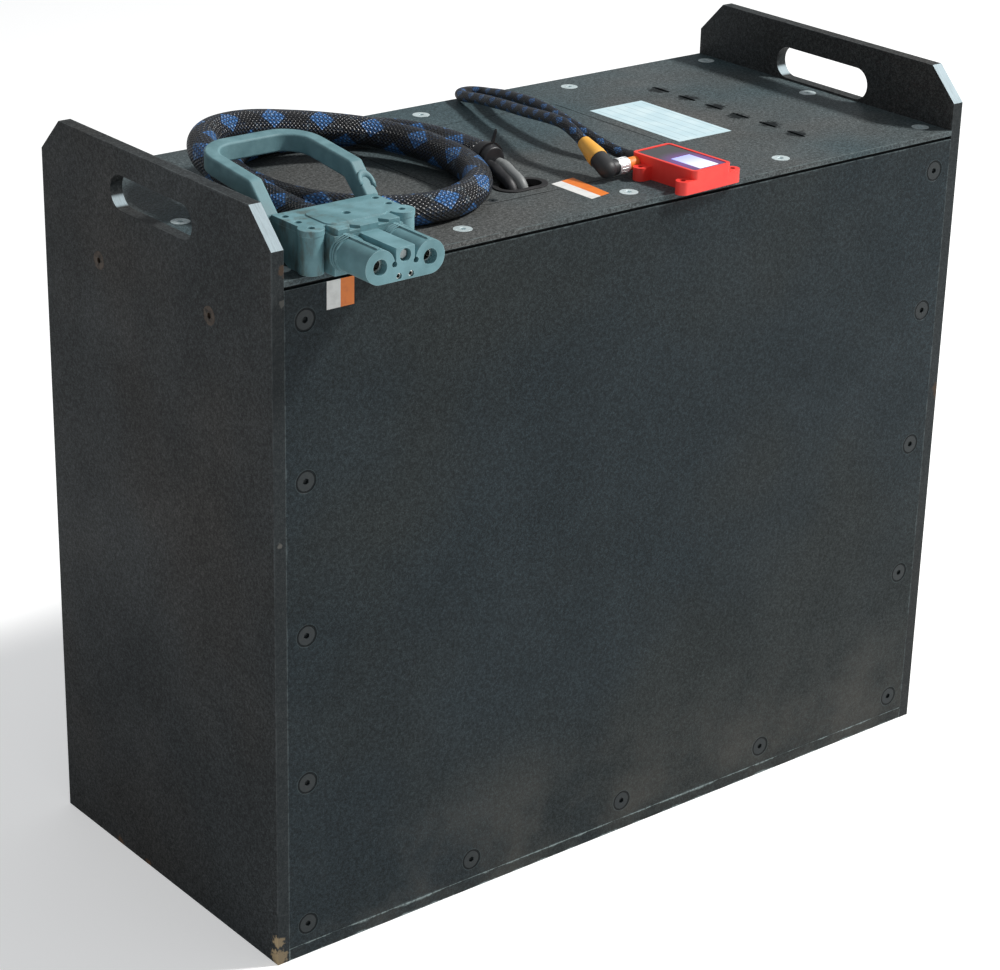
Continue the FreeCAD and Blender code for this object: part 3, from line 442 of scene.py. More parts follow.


# The lid and the service hatch are flat sheet in the same coat as the panels, painted about three times
# lighter than the panels' graphite as painted light on their tops, and greyer in patches where dust
# lies. The lid has a row of vent slots and sits on a black rubber gasket.
lid_lit_grey = (0.058, 0.088, 0.098, 1.0)
lid_shade = (0.088, 0.091, 0.089, 1.0)
lid_rub = (0.13, 0.165, 0.17, 1.0)
gap_dirt = (0.010, 0.013, 0.014, 1.0)
lid_mottle = 0.7
lid_corner = 0.0004
lid_top = 0.627
vent_count = 6
vent_x = 0.252
vent_first = -0.100
vent_pitch = 0.038
soot_radius = 0.0125
soot_sway = 0.004
soot = [((vent_x + soot_sway * math.sin(2.3 * i), vent_first + vent_pitch * i, lid_top),
         soot_radius, gap_dirt) for i in range(vent_count)]
lid_coat = coated("lid_lit_grey", lid_lit_grey, lid_shade, lid_rub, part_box("lid"), rub_width=0.0009,
                  mottle=lid_mottle, chips=soot)
hatch_coat = coated("hatch_grey", lid_lit_grey, lid_shade, gap_dirt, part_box("service_hatch"),
                    rub_width=0.0018, mottle=lid_mottle)
dressed("lid", lid_coat, lid_corner)
dressed("service_hatch", hatch_coat, lid_corner)


# Black oxide socket screws hold the panels, bright zinc ones the lid, and two small browned
# ones each end plate. All are countersunk, with a hexagon socket.
def metal(name, colour, roughness, tarnish, metallic=1.0):
    """Screw or contact metal, dulled in small clouds."""
    made, tree, shader = finish_of(name, Metallic=metallic)
    cloud = noise(tree, 260.0, 4.0)
    tree.links.new(mixed(tree, ramped(tree, cloud, 0.40, 0.68), colour, tarnish),
                   shader.inputs["Base Color"])
    tree.links.new(ramped(tree, cloud, 0.3, 0.7, roughness, min(1.0, roughness + 0.2)),
                   shader.inputs["Roughness"])
    bumped(tree, shader, noise(tree, 1500.0, 2.0), 0.0001, 0.4)
    return made


black_oxide = metal("black_oxide", (0.011, 0.017, 0.020, 1), 0.45, (0.024, 0.030, 0.031, 1), 0.15)
bright_zinc = metal("bright_zinc", (0.66, 0.76, 0.78, 1), 0.42, (0.48, 0.56, 0.57, 1), 0.35)
brown_oxide = metal("brown_oxide", (0.085, 0.062, 0.045, 1), 0.45, (0.026, 0.024, 0.022, 1), 0.5)
dressed("panel_screws", black_oxide, 0.0003)
dressed("lid_screws", bright_zinc, 0.0003)
dressed("end_plate_screws", brown_oxide, 0.0003)
dressed("hatch_screws", black_oxide, 0.0002)


# Black rubber: the lid gasket in its gap, and the grommet in the hatch's cable outlet.
def rubber(name, colour, roughness=0.62):
    """Matt rubber or shrink sleeve with a faint bloom."""
    made, tree, shader = finish_of(name)
    bloom = ramped(tree, noise(tree, 70.0, 5.0), 0.42, 0.75)
    pale = tuple(min(1.0, c * 1.7 + 0.012) for c in colour[:3]) + (1.0,)
    tree.links.new(mixed(tree, bloom, colour, pale), shader.inputs["Base Color"])
    tree.links.new(ramped(tree, bloom, 0.0, 1.0, roughness, min(1.0, roughness + 0.15)),
                   shader.inputs["Roughness"])
    bumped(tree, shader, noise(tree, 900.0, 2.0), 0.0002, 0.35)
    return made


gasket_rubber = rubber("gasket_rubber", (0.012, 0.012, 0.013, 1.0))
dressed("lid_gasket", gasket_rubber)
dressed("cable_grommet", gasket_rubber, 0.0004)


# The frame of square bar inside the tray: posts, rails, bearers and the hatch's ledge, in
# mill-scaled steel, with tie rods that clamp the stack down.
frame_steel = metal("frame_steel", (0.30, 0.30, 0.31, 1), 0.45, (0.16, 0.155, 0.15, 1), 0.9)
for name in nodes:
    if name.startswith(("corner_post", "bottom_rail", "top_rail", "floor_bearers", "hatch_ledge")):
        dressed(name, frame_steel, 0.0006)
dressed("tie_rods", bright_zinc)


# Three boards of woven glass laminate part and insulate the layers of cells. Their weave
# shows as a fine check in the resin.
yarns = 2600.0
resin_dark = (0.47, 0.38, 0.16, 1)
resin_light = (0.58, 0.50, 0.25, 1)
laminate, tree, shader = finish_of("glass_laminate", Roughness=0.45)
across = add(tree, "SeparateXYZ", {0: place_of(tree)})
weave = sums(tree, "MULTIPLY", sums(tree, "SINE", sums(tree, "MULTIPLY", across.outputs[0], yarns)),
             sums(tree, "SINE", sums(tree, "MULTIPLY", across.outputs[1], yarns)))
resin = noise(tree, 22.0, 4.0)
tree.links.new(mixed(tree, ramped(tree, resin, 0.3, 0.7), resin_dark, resin_light),
               shader.inputs["Base Color"])
bumped(tree, shader, weave, 0.0001, 0.5)
for name in ("lower_board", "middle_board", "upper_board"):
    dressed(name, laminate, 0.0004)


# Prismatic cells in drawn aluminium cans, welded links of copper between their terminals.
can_dark = (0.50, 0.53, 0.56, 1)
can_light = (0.66, 0.68, 0.70, 1)
can_corner = 0.002
cell_can, tree, shader = finish_of("cell_can", Metallic=0.9)
drawn = add(tree, "Mapping", {0: place_of(tree), 3: (1.0, 1.0, 0.02)})
lines = noise(tree, 900.0, 3.0, 0.5, drawn.outputs[0])
tree.links.new(mixed(tree, ramped(tree, lines, 0.3, 0.7), can_dark, can_light),
               shader.inputs["Base Color"])
tree.links.new(ramped(tree, lines, 0.3, 0.7, 0.30, 0.45), shader.inputs["Roughness"])
bumped(tree, shader, lines, 0.00005, 0.5)
dressed("cells_lower", cell_can, can_corner)
dressed("cells_upper", cell_can, can_corner)
copper = metal("copper", (0.78, 0.36, 0.20, 1), 0.30, (0.42, 0.20, 0.12, 1))
dressed("busbars", copper, 0.0005)


# Moulded black plastic of the switchgear and of the small plug's elbow, a ceramic fuse and
# the monitor's finned aluminium.
def moulded(name, colour, pale, roughness=0.5, grain_depth=0.00015, shade_scale=28.0):
    """Moulded plastic: spark-eroded grain, slight shade changes and handling polish."""
    made, tree, shader = finish_of(name)
    shade = noise(tree, shade_scale, 5.0)
    tree.links.new(mixed(tree, ramped(tree, shade, 0.32, 0.72), colour, pale),
                   shader.inputs["Base Color"])
    tree.links.new(ramped(tree, shade, 0.3, 0.7, roughness, roughness + 0.12),
                   shader.inputs["Roughness"])
    bumped(tree, shader, noise(tree, 1400.0, 2.0), grain_depth, 0.5)
    return made


black_plastic = moulded("black_plastic", (0.018, 0.019, 0.021, 1), (0.035, 0.036, 0.038, 1), 0.42)
ceramic = moulded("fuse_ceramic", (0.72, 0.69, 0.62, 1), (0.80, 0.78, 0.72, 1), 0.35)
fin_alloy = metal("fin_alloy", (0.46, 0.47, 0.49, 1), 0.40, (0.36, 0.37, 0.39, 1))
dressed("terminal_block", black_plastic, 0.0008)
dressed("main_contactor", black_plastic, 0.0008)
dressed("main_fuse", ceramic, 0.0004)
dressed("cell_monitor", fin_alloy, 0.0003)


# The power lead: two conductors in a black braided sleeve with blue tracer bands, laid in a
# loose coil and a half on the lid, from the outlet to the traction plug.
lead_diameter = 0.027
lead_points = [
    (-0.068, -0.028, 0.641), (-0.068, 0.002, 0.641), (-0.072, 0.038, 0.641),
    (-0.088, 0.074, 0.641), (-0.118, 0.101, 0.641), (-0.156, 0.117, 0.641),
    (-0.198, 0.121, 0.641), (-0.236, 0.111, 0.641), (-0.265, 0.086, 0.641),
    (-0.282, 0.050, 0.641), (-0.289, 0.010, 0.641), (-0.286, -0.034, 0.641),
    (-0.272, -0.076, 0.641), (-0.243, -0.108, 0.641), (-0.204, -0.126, 0.641),
    (-0.163, -0.121, 0.641), (-0.127, -0.100, 0.6415), (-0.105, -0.065, 0.643),
    (-0.098, -0.024, 0.645), (-0.103, 0.017, 0.647), (-0.119, 0.052, 0.650),
    (-0.148, 0.076, 0.655), (-0.187, 0.087, 0.661), (-0.226, 0.088, 0.668),
    (-0.262, 0.086, 0.672), (-0.294, 0.073, 0.672), (-0.316, 0.044, 0.669),
    (-0.324, 0.006, 0.664), (-0.320, -0.034, 0.656), (-0.310, -0.073, 0.646),
    (-0.310, -0.111, 0.646),
]


def cord_curve(name, points, diameter):
    """One open NURBS spline through a cord's route, round in section and closed at its ends."""
    curve = bpy.data.curves.new(name, "CURVE")
    curve.dimensions = "3D"
    curve.resolution_u = 16
    spline = curve.splines.new("NURBS")
    spline.points.add(len(points) - 1)
    spline.points.foreach_set("co", [c for point in points for c in (*point, 1.0)])
    spline.order_u = 3
    spline.use_endpoint_u = True
    curve.bevel_depth = diameter / 2
    curve.bevel_resolution = 8
    curve.use_fill_caps = True
    made = bpy.data.objects.new(name, curve)
    scene.collection.objects.link(made)
    return made


def line_of(curve_object):
    """Points along a curve's own line, read from the curve with no thickness."""
    bare = bpy.data.objects.new("bare", curve_object.data.copy())
    bare.data.bevel_depth = 0.0
    mesh = bpy.data.meshes.new_from_object(bare)
    line = np.empty(len(mesh.vertices) * 3)
    mesh.vertices.foreach_get("co", line)
    bpy.data.objects.remove(bare)
    bpy.data.meshes.remove(mesh)
    return line.reshape(-1, 3)


def braided_tube(name, points, diameter, step, around, swell):
    """Sleeve round a route. Rings stand square to the line at equal steps; each ring's frame
    is set level, square to the line and the vertical. The radius swells by small soft lumps.
    UV: x is the share of the way round, y is the distance along in metres."""
    guide = cord_curve(name + "_route", points, diameter)
    line = line_of(guide)
    bpy.data.objects.remove(guide)
    along = np.concatenate([[0], np.cumsum(np.linalg.norm(np.diff(line, axis=0), axis=1))])
    count = max(2, int(along[-1] / step))
    at = np.linspace(0, along[-1], count + 1)
    centre = np.stack([np.interp(at, along, line[:, k]) for k in range(3)], axis=1)
    for _ in range(2):
        centre[1:-1] = (centre[:-2] + 2 * centre[1:-1] + centre[2:]) / 4
    ahead = np.gradient(centre, axis=0)
    ahead /= np.linalg.norm(ahead, axis=1)[:, None]
    side = np.cross(ahead, [0.0, 0.0, 1.0])
    side /= np.linalg.norm(side, axis=1)[:, None]
    up = np.cross(side, ahead)
    turn = np.linspace(0, 2 * np.pi, around, endpoint=False)
    lump = np.sin(at * 47.0)[:, None] * np.sin(turn * 2 + 1.3)[None, :]
    lump = lump + 0.6 * np.sin(at * 113.0 + 0.7)[:, None] * np.cos(turn * 3 - 0.4)[None, :]
    radius = diameter / 2 * (1 + swell * lump)
    ring = (np.cos(turn)[None, :, None] * side[:, None, :]
            + np.sin(turn)[None, :, None] * up[:, None, :])
    points_3d = centre[:, None, :] + radius[:, :, None] * ring
    rows, columns = points_3d.shape[:2]
    index = np.arange(rows * columns).reshape(rows, columns)
    a = index[:-1]
    b = index[1:]
    faces = np.stack([a, np.roll(a, -1, 1), np.roll(b, -1, 1), b], axis=-1).reshape(-1, 4)
    verts = points_3d.reshape(-1, 3)
    mesh = bpy.data.meshes.new(name)
    caps = [index[0][::-1].tolist(), index[-1].tolist()]
    mesh.from_pydata(verts.tolist(), [], faces.tolist() + caps)
    mesh.polygons.foreach_set("use_smooth", [True] * len(mesh.polygons))
    uv = np.zeros((len(mesh.loops), 2))
    share = np.arange(columns) / columns
    next_share = (np.arange(columns) + 1) / columns
    low = np.broadcast_to(at[:-1, None], (rows - 1, columns))
    high = np.broadcast_to(at[1:, None], (rows - 1, columns))
    first = np.broadcast_to(share, (rows - 1, columns))
    second = np.broadcast_to(next_share, (rows - 1, columns))
    quad = np.stack([np.stack([first, low], -1), np.stack([second, low], -1),
                     np.stack([second, high], -1), np.stack([first, high], -1)], axis=2)
    uv[:len(faces) * 4] = quad.reshape(-1, 2)
    mesh.uv_layers.new(name="UVMap").data.foreach_set("uv", uv.ravel())
    made = bpy.data.objects.new(name, mesh)
    scene.collection.objects.link(made)
    return made, centre


# The braid is two families of flat strands that cross over and under. The group works on
# the sleeve's UV: a strand's number comes from the way round plus or minus the way along.
braid_group = bpy.data.node_groups.new("braid", "ShaderNodeTree")
for name in ("Strands", "Pitch", "Tracer every", "Tracer width"):
    braid_group.interface.new_socket(name, in_out="INPUT", socket_type="NodeSocketFloat")
for name in ("Height", "Tracer", "Glint"):
    braid_group.interface.new_socket(name, in_out="OUTPUT", socket_type="NodeSocketFloat")
tree = braid_group
given = tree.nodes.new("NodeGroupInput")
result = tree.nodes.new("NodeGroupOutput")
flat = add(tree, "SeparateXYZ", {0: add(tree, "UVMap", uv_map="UVMap").outputs[0]})
climb = sums(tree, "DIVIDE", flat.outputs[1], given.outputs["Pitch"])
right_lay = sums(tree, "MULTIPLY", sums(tree, "ADD", flat.outputs[0], climb), given.outputs["Strands"])
left_lay = sums(tree, "MULTIPLY", sums(tree, "SUBTRACT", flat.outputs[0], climb),
                given.outputs["Strands"])
right_number = sums(tree, "FLOOR", right_lay)
left_number = sums(tree, "FLOOR", left_lay)
step_over = sums(tree, "FLOORED_MODULO", sums(tree, "ADD", right_number, left_number), 2.0)
right_on_top = sums(tree, "LESS_THAN", step_over, 0.5)
right_round = sums(tree, "SINE", sums(tree, "MULTIPLY", sums(tree, "FRACT", right_lay), math.pi))
left_round = sums(tree, "SINE", sums(tree, "MULTIPLY", sums(tree, "FRACT", left_lay), math.pi))
both = sums(tree, "MULTIPLY", right_round, left_round)
crown = mixed(tree, right_on_top, left_round, right_round)
height = sums(tree, "ADD", sums(tree, "MULTIPLY", sums(tree, "POWER", crown, 0.5), 0.6),
              sums(tree, "MULTIPLY", both, 0.4))
right_tracer = sums(tree, "LESS_THAN", sums(tree, "FLOORED_MODULO", right_number,
                                            given.outputs["Tracer every"]),
                    given.outputs["Tracer width"])
left_tracer = sums(tree, "LESS_THAN", sums(tree, "FLOORED_MODULO", left_number,
                                           given.outputs["Tracer every"]),
                   given.outputs["Tracer width"])
tracer = mixed(tree, right_on_top, left_tracer, right_tracer)
crossing = sums(tree, "MULTIPLY", sums(tree, "MULTIPLY", right_tracer, left_tracer),
                sums(tree, "MULTIPLY_ADD", right_on_top, 0.60, 0.40))
shared = sums(tree, "MAXIMUM", crossing, sums(tree, "MULTIPLY", tracer, 0.07))
# The glint mask marks where a painted highlight goes: on the strands' crowns, in fibre streaks.
fibre = noise(tree, 160.0, 3.0)
tree.links.new(height, result.inputs["Height"])
tree.links.new(shared, result.inputs["Tracer"])
tree.links.new(sums(tree, "MULTIPLY", ramped(tree, fibre, 0.58, 0.74), crown), result.inputs["Glint"])

# Each strand's colour in the gaps and on its crown, the gaps darker as painted shade between the
# strands, and the pale colour of the painted glints.
black_strand = ((0.001, 0.001, 0.002, 1), (0.005, 0.006, 0.009, 1))
blue_strand = ((0.004, 0.016, 0.060, 1), (0.045, 0.200, 0.520, 1))
painted_glint_colour = (0.46, 0.66, 0.80, 1)


def braid_finish(name, strands, pitch, tracer_every, tracer_width, depth):
    """Braided sleeve: glossy black and blue filament, darker in the gaps as painted shade, with a few
    pale glints that are painted highlights.
    """
    made, tree, shader = finish_of(name, Specular_IOR_Level=0.55)
    group = tree.nodes.new("ShaderNodeGroup")
    group.node_tree = braid_group
    group.inputs["Strands"].default_value = strands
    group.inputs["Pitch"].default_value = pitch
    group.inputs["Tracer every"].default_value = tracer_every
    group.inputs["Tracer width"].default_value = tracer_width
    dark = mixed(tree, group.outputs["Height"], *black_strand)
    blue = mixed(tree, group.outputs["Height"], *blue_strand)
    colour = mixed(tree, group.outputs["Tracer"], dark, blue)
    painted_glint_share = sums(tree, "MULTIPLY", group.outputs["Glint"],
                 sums(tree, "MULTIPLY_ADD", group.outputs["Tracer"], 0.55, 0.16))
    tree.links.new(mixed(tree, painted_glint_share, colour, painted_glint_colour), shader.inputs["Base Color"])
    tree.links.new(ramped(tree, group.outputs["Height"], 0.0, 1.0, 0.60, 0.27),
                   shader.inputs["Roughness"])
    bumped(tree, shader, group.outputs["Height"], depth, 0.9)
    return made


power_lead, lead_line = braided_tube("braided_power_lead", lead_points, lead_diameter,
                                     step=0.003, around=56, swell=0.012)
power_lead.data.materials.append(braid_finish("power_braid", strands=24.0, pitch=0.104,
                                              tracer_every=12.0, tracer_width=6.0, depth=0.0013))
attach(power_lead, "root")
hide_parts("power_lead")


# Where the braid ends it is shrunk into black sleeve. At the outlet the two conductors come
# out of it, one jacket grey and one black, and dip through the grommet to their terminals.
def turned(name, profile, start, axis, around=64, hollow=False):
    """Round piece: a profile of (distance along, radius) pairs turned about an axis. A hollow
    one joins its last ring to its first, and any other is closed at both ends."""
    start = np.array(start)
    axis = np.array(axis) / np.linalg.norm(axis)
    side = np.cross(axis, [0.0, 0.0, 1.0] if abs(axis[2]) < 0.9 else [1.0, 0.0, 0.0])
    side /= np.linalg.norm(side)
    other = np.cross(axis, side)
    turn = np.linspace(0, 2 * np.pi, around, endpoint=False)
    ring = np.cos(turn)[:, None] * side + np.sin(turn)[:, None] * other
    profile = np.array(profile)
    points = (start + profile[:, 0, None, None] * axis
              + profile[:, 1, None, None] * ring[None, :, :])
    rows = len(profile)
    index = np.arange(rows * around).reshape(rows, around)
    a = index if hollow else index[:-1]
    b = np.roll(index, -1, 0) if hollow else index[1:]
    faces = np.stack([a, np.roll(a, -1, 1), np.roll(b, -1, 1), b], axis=-1).reshape(-1, 4).tolist()
    if not hollow:
        faces += [index[0][::-1].tolist(), index[-1].tolist()]
    return meshed(name, points.reshape(-1, 3), faces, smooth=not hollow)


shrink_black = rubber("shrink_black", (0.010, 0.010, 0.012, 1.0), 0.38)
rear_boot = turned(
    "lead_rear_boot",
    [(0.0, 0.0136), (0.0006, 0.0139), (0.0030, 0.0139), (0.0080, 0.0137), (0.0130, 0.0131),
     (0.0165, 0.0122), (0.0178, 0.0116), (0.0180, 0.0108)],
    (-0.068, -0.028, 0.641), (0, -1, 0))
rear_boot.data.materials.append(shrink_black)
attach(rear_boot, "root")
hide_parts("lead_tail_boot")
dressed("lead_plug_boot", shrink_black, 0.0006)

# A nylon cable tie holds the split rear sleeve, and its cut tail stands up beside it.
tie_inner = 0.01395
tie_outer = 0.01520
tie_width = 0.0036
tie_start = (-0.068, -0.0365, 0.641)
tie_band = turned("cable_tie_band", [(0.0, tie_inner), (0.0, tie_outer), (tie_width, tie_outer),
                                     (tie_width, tie_inner)], tie_start, (0, -1, 0), 48, True)
strap_root = np.array([-0.0640, -0.0383, 0.6552])
strap_run = np.array([0.0030, -0.0010, 0.0120])
strap_side = np.array([0.0, 1.0, 0.0])
strap_thick = np.cross(strap_run, strap_side) / np.linalg.norm(np.cross(strap_run, strap_side))
# Stages up the cut tail: share of its run, half its width, half its thickness.
strap_stages = [(0.0, 0.0016, 0.0010), (0.25, 0.0016, 0.0007), (0.85, 0.0013, 0.0006),
                (1.0, 0.0005, 0.0005)]
strap_points = [strap_root + strap_run * t + strap_side * w * s + strap_thick * h * k
                for t, w, h in strap_stages for s, k in ((-1, -1), (1, -1), (1, 1), (-1, 1))]
strap_faces = [[4 * r + c, 4 * r + (c + 1) % 4, 4 * r + 4 + (c + 1) % 4, 4 * r + 4 + c]
               for r in range(3) for c in range(4)] + [[3, 2, 1, 0], [12, 13, 14, 15]]
tie_tail = meshed("cable_tie_tail", strap_points, strap_faces, smooth=False)
tie_nylon = rubber("tie_nylon", (0.008, 0.008, 0.009, 1.0), 0.30)
for piece in (tie_band, tie_tail):
    piece.data.materials.append(tie_nylon)
    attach(piece, "root")

tail_diameter = 0.0105
tail_sides = {"grey": (-0.0622, -0.066), "black": (-0.0738, -0.078)}
tail_jackets = {
    "grey": rubber("jacket_grey", (0.20, 0.21, 0.21, 1.0), 0.48),
    "black": rubber("jacket_black", (0.014, 0.014, 0.016, 1.0), 0.42),
}
for colour, (inner, x) in tail_sides.items():
    tail_points = [
        (inner, -0.046, 0.63745), (inner, -0.055, 0.63745), (x, -0.068, 0.63455),
        (x, -0.081, 0.63045), (x, -0.086, 0.62095), (x, -0.087, 0.60595), (x, -0.089, 0.58795),
        (x, -0.0885, 0.56995), (x, -0.087, 0.55295), (x, -0.087, 0.536),
    ]
    tail = cord_curve("conductor_" + colour, tail_points, tail_diameter)
    tail.data.materials.append(tail_jackets[colour])
    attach(tail, "root")
    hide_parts("lead_tail_" + colour)


# The traction plug is moulded in grey-green plastic: a lower half with two contact barrels,
# a flat cover, and a bent pull handle that is scuffed on top.
def worn_highlit_corners(finish, reach, pale, most):
    """Pale corners, partly rubbed wear and partly a painted highlight: where the normal, rounded over a
    small reach, leaves the face's own.
    """
    tree = finish.node_tree
    shader = tree.nodes["Principled BSDF"]
    rounded = add(tree, "Bevel", {"Radius": reach}, samples=8)
    square = add(tree, "NewGeometry").outputs["Normal"]
    agree = add(tree, "VectorMath", {0: rounded.outputs[0], 1: square}, operation="DOT_PRODUCT")
    patchy = ramped(tree, noise(tree, 160.0, 4.0), 0.35, 0.65, 0.35, 1.0)
    corner = sums(tree, "MULTIPLY", ramped(tree, agree.outputs["Value"], 0.82, 0.99, most, 0.0), patchy)
    colour = shader.inputs["Base Color"].links[0].from_socket
    tree.links.new(mixed(tree, corner, colour, pale), shader.inputs["Base Color"])


plug_grey = (0.112, 0.240, 0.266, 1.0)
plug_pale = (0.180, 0.350, 0.390, 1.0)
scuffed_highlight_pale = (0.40, 0.60, 0.64, 1.0)
plug_plastic = moulded("plug_plastic", plug_grey, plug_pale, 0.50, 0.0002, 40.0)
handle_plastic = moulded("handle_plastic", (0.105, 0.215, 0.240, 1), (0.165, 0.305, 0.335, 1),
                         0.55, 0.00025, 55.0)
silvered = metal("silvered", (0.88, 0.88, 0.85, 1), 0.22, (0.62, 0.60, 0.55, 1))
pin_plastic = moulded("pin_plastic", (0.55, 0.58, 0.57, 1), (0.68, 0.70, 0.69, 1), 0.4)
tree = plug_plastic.node_tree
shader = tree.nodes["Principled BSDF"]
clean = shader.inputs["Base Color"].links[0].from_socket
spot = add(tree, "SeparateXYZ", {0: place_of(tree)})
run_down = add(tree, "Mapping", {0: place_of(tree), 3: (1.0, 1.0, 0.35)})
grease = ramped(tree, noise(tree, 75.0, 5.0, 0.65, run_down.outputs[0]), 0.46, 0.66)
near_leg = ramped(tree, spot.outputs[0], -0.345, -0.295, 1.0, 0.25)
behind_barrels = ramped(tree, spot.outputs[1], -0.200, -0.186, 0.15, 1.0)
stain = sums(tree, "MULTIPLY", sums(tree, "MULTIPLY", grease, near_leg), behind_barrels)
grease_brown = (0.075, 0.064, 0.040, 1)
tree.links.new(mixed(tree, sums(tree, "MULTIPLY", stain, 0.62), clean, grease_brown),
               shader.inputs["Base Color"])
worn_highlit_corners(plug_plastic, 0.0011, scuffed_highlight_pale, 0.62)
worn_highlit_corners(handle_plastic, 0.0018, scuffed_highlight_pale, 0.40)
dressed("plug_housing", plug_plastic, 0.0004)
dressed("plug_cover", plug_plastic, 0.0007)
dressed("plug_handle", handle_plastic, 0.0022, steps=3)


def arch(name, centre, radius, tube, start, end, slope, steps=28, around=14):
    """Half ring on a face that rises to the back by slope: a round tube swept about the
    vertical through its centre, from one angle to another, and closed at both ends."""
    sweep = np.linspace(start, end, steps)[:, None]
    turn = np.linspace(0, 2 * np.pi, around, endpoint=False)[None, :]
    reach = radius + tube * np.cos(turn)
    points = np.stack([centre[0] + reach * np.cos(sweep), centre[1] + reach * np.sin(sweep),
                       centre[2] + tube * np.sin(turn) + slope * reach * np.sin(sweep)], axis=-1)
    index = np.arange(steps * around).reshape(steps, around)
    a = index[:-1]
    b = index[1:]
    faces = np.stack([a, b, np.roll(b, -1, 1), np.roll(a, -1, 1)], axis=-1).reshape(-1, 4).tolist()
    return meshed(name, points.reshape(-1, 3), faces + [index[0].tolist(), index[-1][::-1].tolist()])


eye_centre = (-0.2605, -0.1190, 0.6728)
eye_radius = 0.0060
eye_tube = 0.0019
handle_eye = arch("handle_eye", eye_centre, eye_radius, eye_tube, -0.5, math.pi + 0.1, 1.0)
handle_eye.data.materials.append(handle_plastic)
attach(handle_eye, "root")
dressed("plug_main_contacts", silvered, 0.0003)
dressed("plug_pilot_contacts", silvered, 0.0002)
dressed("plug_coding_pin", pin_plastic, 0.0003)


# The display that shows the charge: a red moulded case with four lugs, a glossy black front
# with a lit screen, and a screwed right-angle plug on an orange socket at its side.
display_red = moulded("display_red", (0.93, 0.040, 0.032, 1), (0.98, 0.075, 0.055, 1), 0.36)
bezel_gloss, tree, shader = finish_of("bezel_gloss", Roughness=0.16, Coat_Weight=0.6)
screen_low, screen_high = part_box("display_screen")
screen_centre = (screen_low + screen_high) / 2
from_screen = add(tree, "VectorMath", {0: place_of(tree), 1: screen_centre}, operation="DISTANCE")
# The violet round the screen on the black front is the screen's light, painted on as a glow.
painted_glow_violet = (0.210, 0.030, 0.340, 1)
painted_glow_share = ramped(tree, from_screen.outputs["Value"], 0.014, 0.036, 1.0, 0.0)
smudge = ramped(tree, noise(tree, 60.0, 4.0), 0.4, 0.8)
black = mixed(tree, smudge, (0.016, 0.012, 0.014, 1), (0.034, 0.022, 0.028, 1))
tree.links.new(mixed(tree, sums(tree, "MULTIPLY", painted_glow_share, 0.8), black, painted_glow_violet),
               shader.inputs["Base Color"])
screen_glow, tree, shader = finish_of("screen_glow", Roughness=0.20, Emission_Strength=0.35)
glow_near = (0.86, 0.90, 1.0, 1)
glow_far = (0.42, 0.46, 0.98, 1)
along = add(tree, "SeparateXYZ", {0: place_of(tree)}).outputs[1]
glow = mixed(tree, ramped(tree, along, screen_low[1], screen_high[1]), glow_near, glow_far)
tree.links.new(glow, shader.inputs["Base Color"])
tree.links.new(glow, shader.inputs["Emission Color"])
socket_orange = moulded("socket_orange", (0.80, 0.21, 0.02, 1), (0.86, 0.30, 0.05, 1))
nut_nickel = metal("nut_nickel", (0.86, 0.88, 0.89, 1), 0.34, (0.66, 0.67, 0.66, 1), 0.6)
boot_yellow = moulded("boot_yellow", (0.86, 0.42, 0.06, 1), (0.92, 0.55, 0.14, 1), 0.45)
dressed("display_case", display_red, 0.0007)
dressed("display_bezel", bezel_gloss, 0.0003)
dressed("display_screen", screen_glow, 0.0001)
dressed("display_screws", black_oxide, 0.0001)
dressed("display_socket", socket_orange, 0.0004)
dressed("display_gland", tail_jackets["black"])
dressed("data_plug_body", black_plastic, 0.0004)
dressed("data_plug_nut", nut_nickel, 0.0002)
dressed("data_plug_boot", boot_yellow, 0.0005)


# The display's lead is a thinner braided cord. It runs back over the hatch to the lid's rear
# edge, folds there, and comes forward again to the yellow boot of its own plug.
data_diameter = 0.0105
data_points = [
    (0.049216, -0.093701, 0.6375), (0.04829, -0.076026, 0.6375), (0.046, -0.054, 0.642),
    (0.045, -0.028, 0.6475), (0.049, 0.0, 0.650), (0.056, 0.030, 0.651), (0.062, 0.064, 0.650),
    (0.068, 0.098, 0.646), (0.075, 0.126, 0.641), (0.080, 0.146, 0.6365), (0.083, 0.160, 0.634),
    (0.075, 0.173, 0.6335), (0.061, 0.171, 0.6335), (0.056, 0.156, 0.6345),
    (0.053, 0.132, 0.639), (0.046, 0.104, 0.6435), (0.040, 0.074, 0.6475),
    (0.033, 0.044, 0.651), (0.026, 0.014, 0.655), (0.018, -0.016, 0.660),
    (0.011065, -0.052865, 0.662998), (0.0082, -0.0779, 0.6533),
]
data_lead, data_line = braided_tube("braided_data_lead", data_points, data_diameter,
                                    step=0.002, around=32, swell=0.008)
data_lead.data.materials.append(braid_finish("data_braid", strands=16.0, pitch=0.046,
                                             tracer_every=8.0, tracer_width=4.0, depth=0.0007))
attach(data_lead, "root")
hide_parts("data_lead")


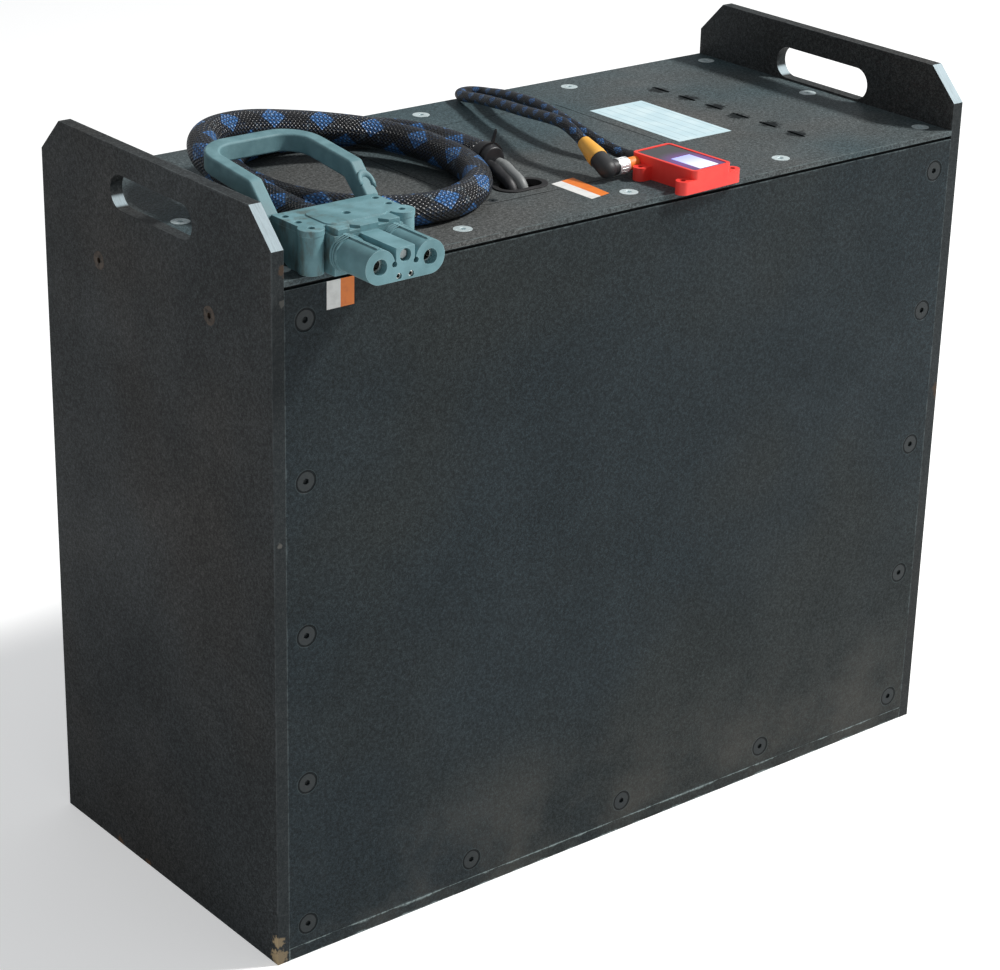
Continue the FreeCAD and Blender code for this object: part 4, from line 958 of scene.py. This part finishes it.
# A pale rating plate lies beyond the display, ruled but bare, and two seals half white and
# half orange are stuck over the hatch's front edge and the panel below the plug.
label_margin = 0.006
row_pitch = 0.0055
line_half = 0.0005
paper_dark = (0.56, 0.74, 0.80, 1)
paper_light = (0.66, 0.82, 0.86, 1)
line_ink = (0.10, 0.16, 0.18, 1)
label_film, tree, shader = finish_of("label_film", Roughness=0.42)
label_low, label_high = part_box("rating_label")
label_middle = (label_high[1] + label_low[1]) / 2
line_reach = (label_high[1] - label_low[1]) / 2 - label_margin
spot = add(tree, "SeparateXYZ", {0: place_of(tree)})
rows = sums(tree, "PINGPONG", sums(tree, "SUBTRACT", spot.outputs[0], label_low[0] + label_margin),
            row_pitch)
ruled = sums(tree, "LESS_THAN", rows, line_half)
off_middle = sums(tree, "ABSOLUTE", sums(tree, "SUBTRACT", spot.outputs[1], label_middle))
inset = sums(tree, "LESS_THAN", off_middle, line_reach)
line_share = sums(tree, "MULTIPLY", sums(tree, "MULTIPLY", ruled, inset), 0.35)
paper = mixed(tree, ramped(tree, noise(tree, 45.0, 4.0), 0.35, 0.7), paper_dark, paper_light)
tree.links.new(mixed(tree, line_share, paper, line_ink), shader.inputs["Base Color"])
bumped(tree, shader, noise(tree, 300.0, 3.0), 0.0001, 0.2)
dressed("rating_label", label_film)


def seal_film(name, middle):
    """Seal sticker, white to the left of a line at middle and orange to its right."""
    made, tree, shader = finish_of(name, Roughness=0.5)
    along = add(tree, "SeparateXYZ", {0: place_of(tree)}).outputs[0]
    right_half = sums(tree, "GREATER_THAN", along, middle)
    worn = ramped(tree, noise(tree, 120.0, 4.0), 0.4, 0.75)
    white = mixed(tree, worn, (0.82, 0.82, 0.80, 1), (0.70, 0.70, 0.68, 1))
    orange = mixed(tree, worn, (0.85, 0.22, 0.03, 1), (0.72, 0.17, 0.03, 1))
    tree.links.new(mixed(tree, right_half, white, orange), shader.inputs["Base Color"])
    return made


panel_seal_middle = -0.3285
lid_seal_middle = -0.029
dressed("panel_seal", seal_film("panel_seal_film", panel_seal_middle))
dressed("lid_seal", seal_film("lid_seal_film", lid_seal_middle))
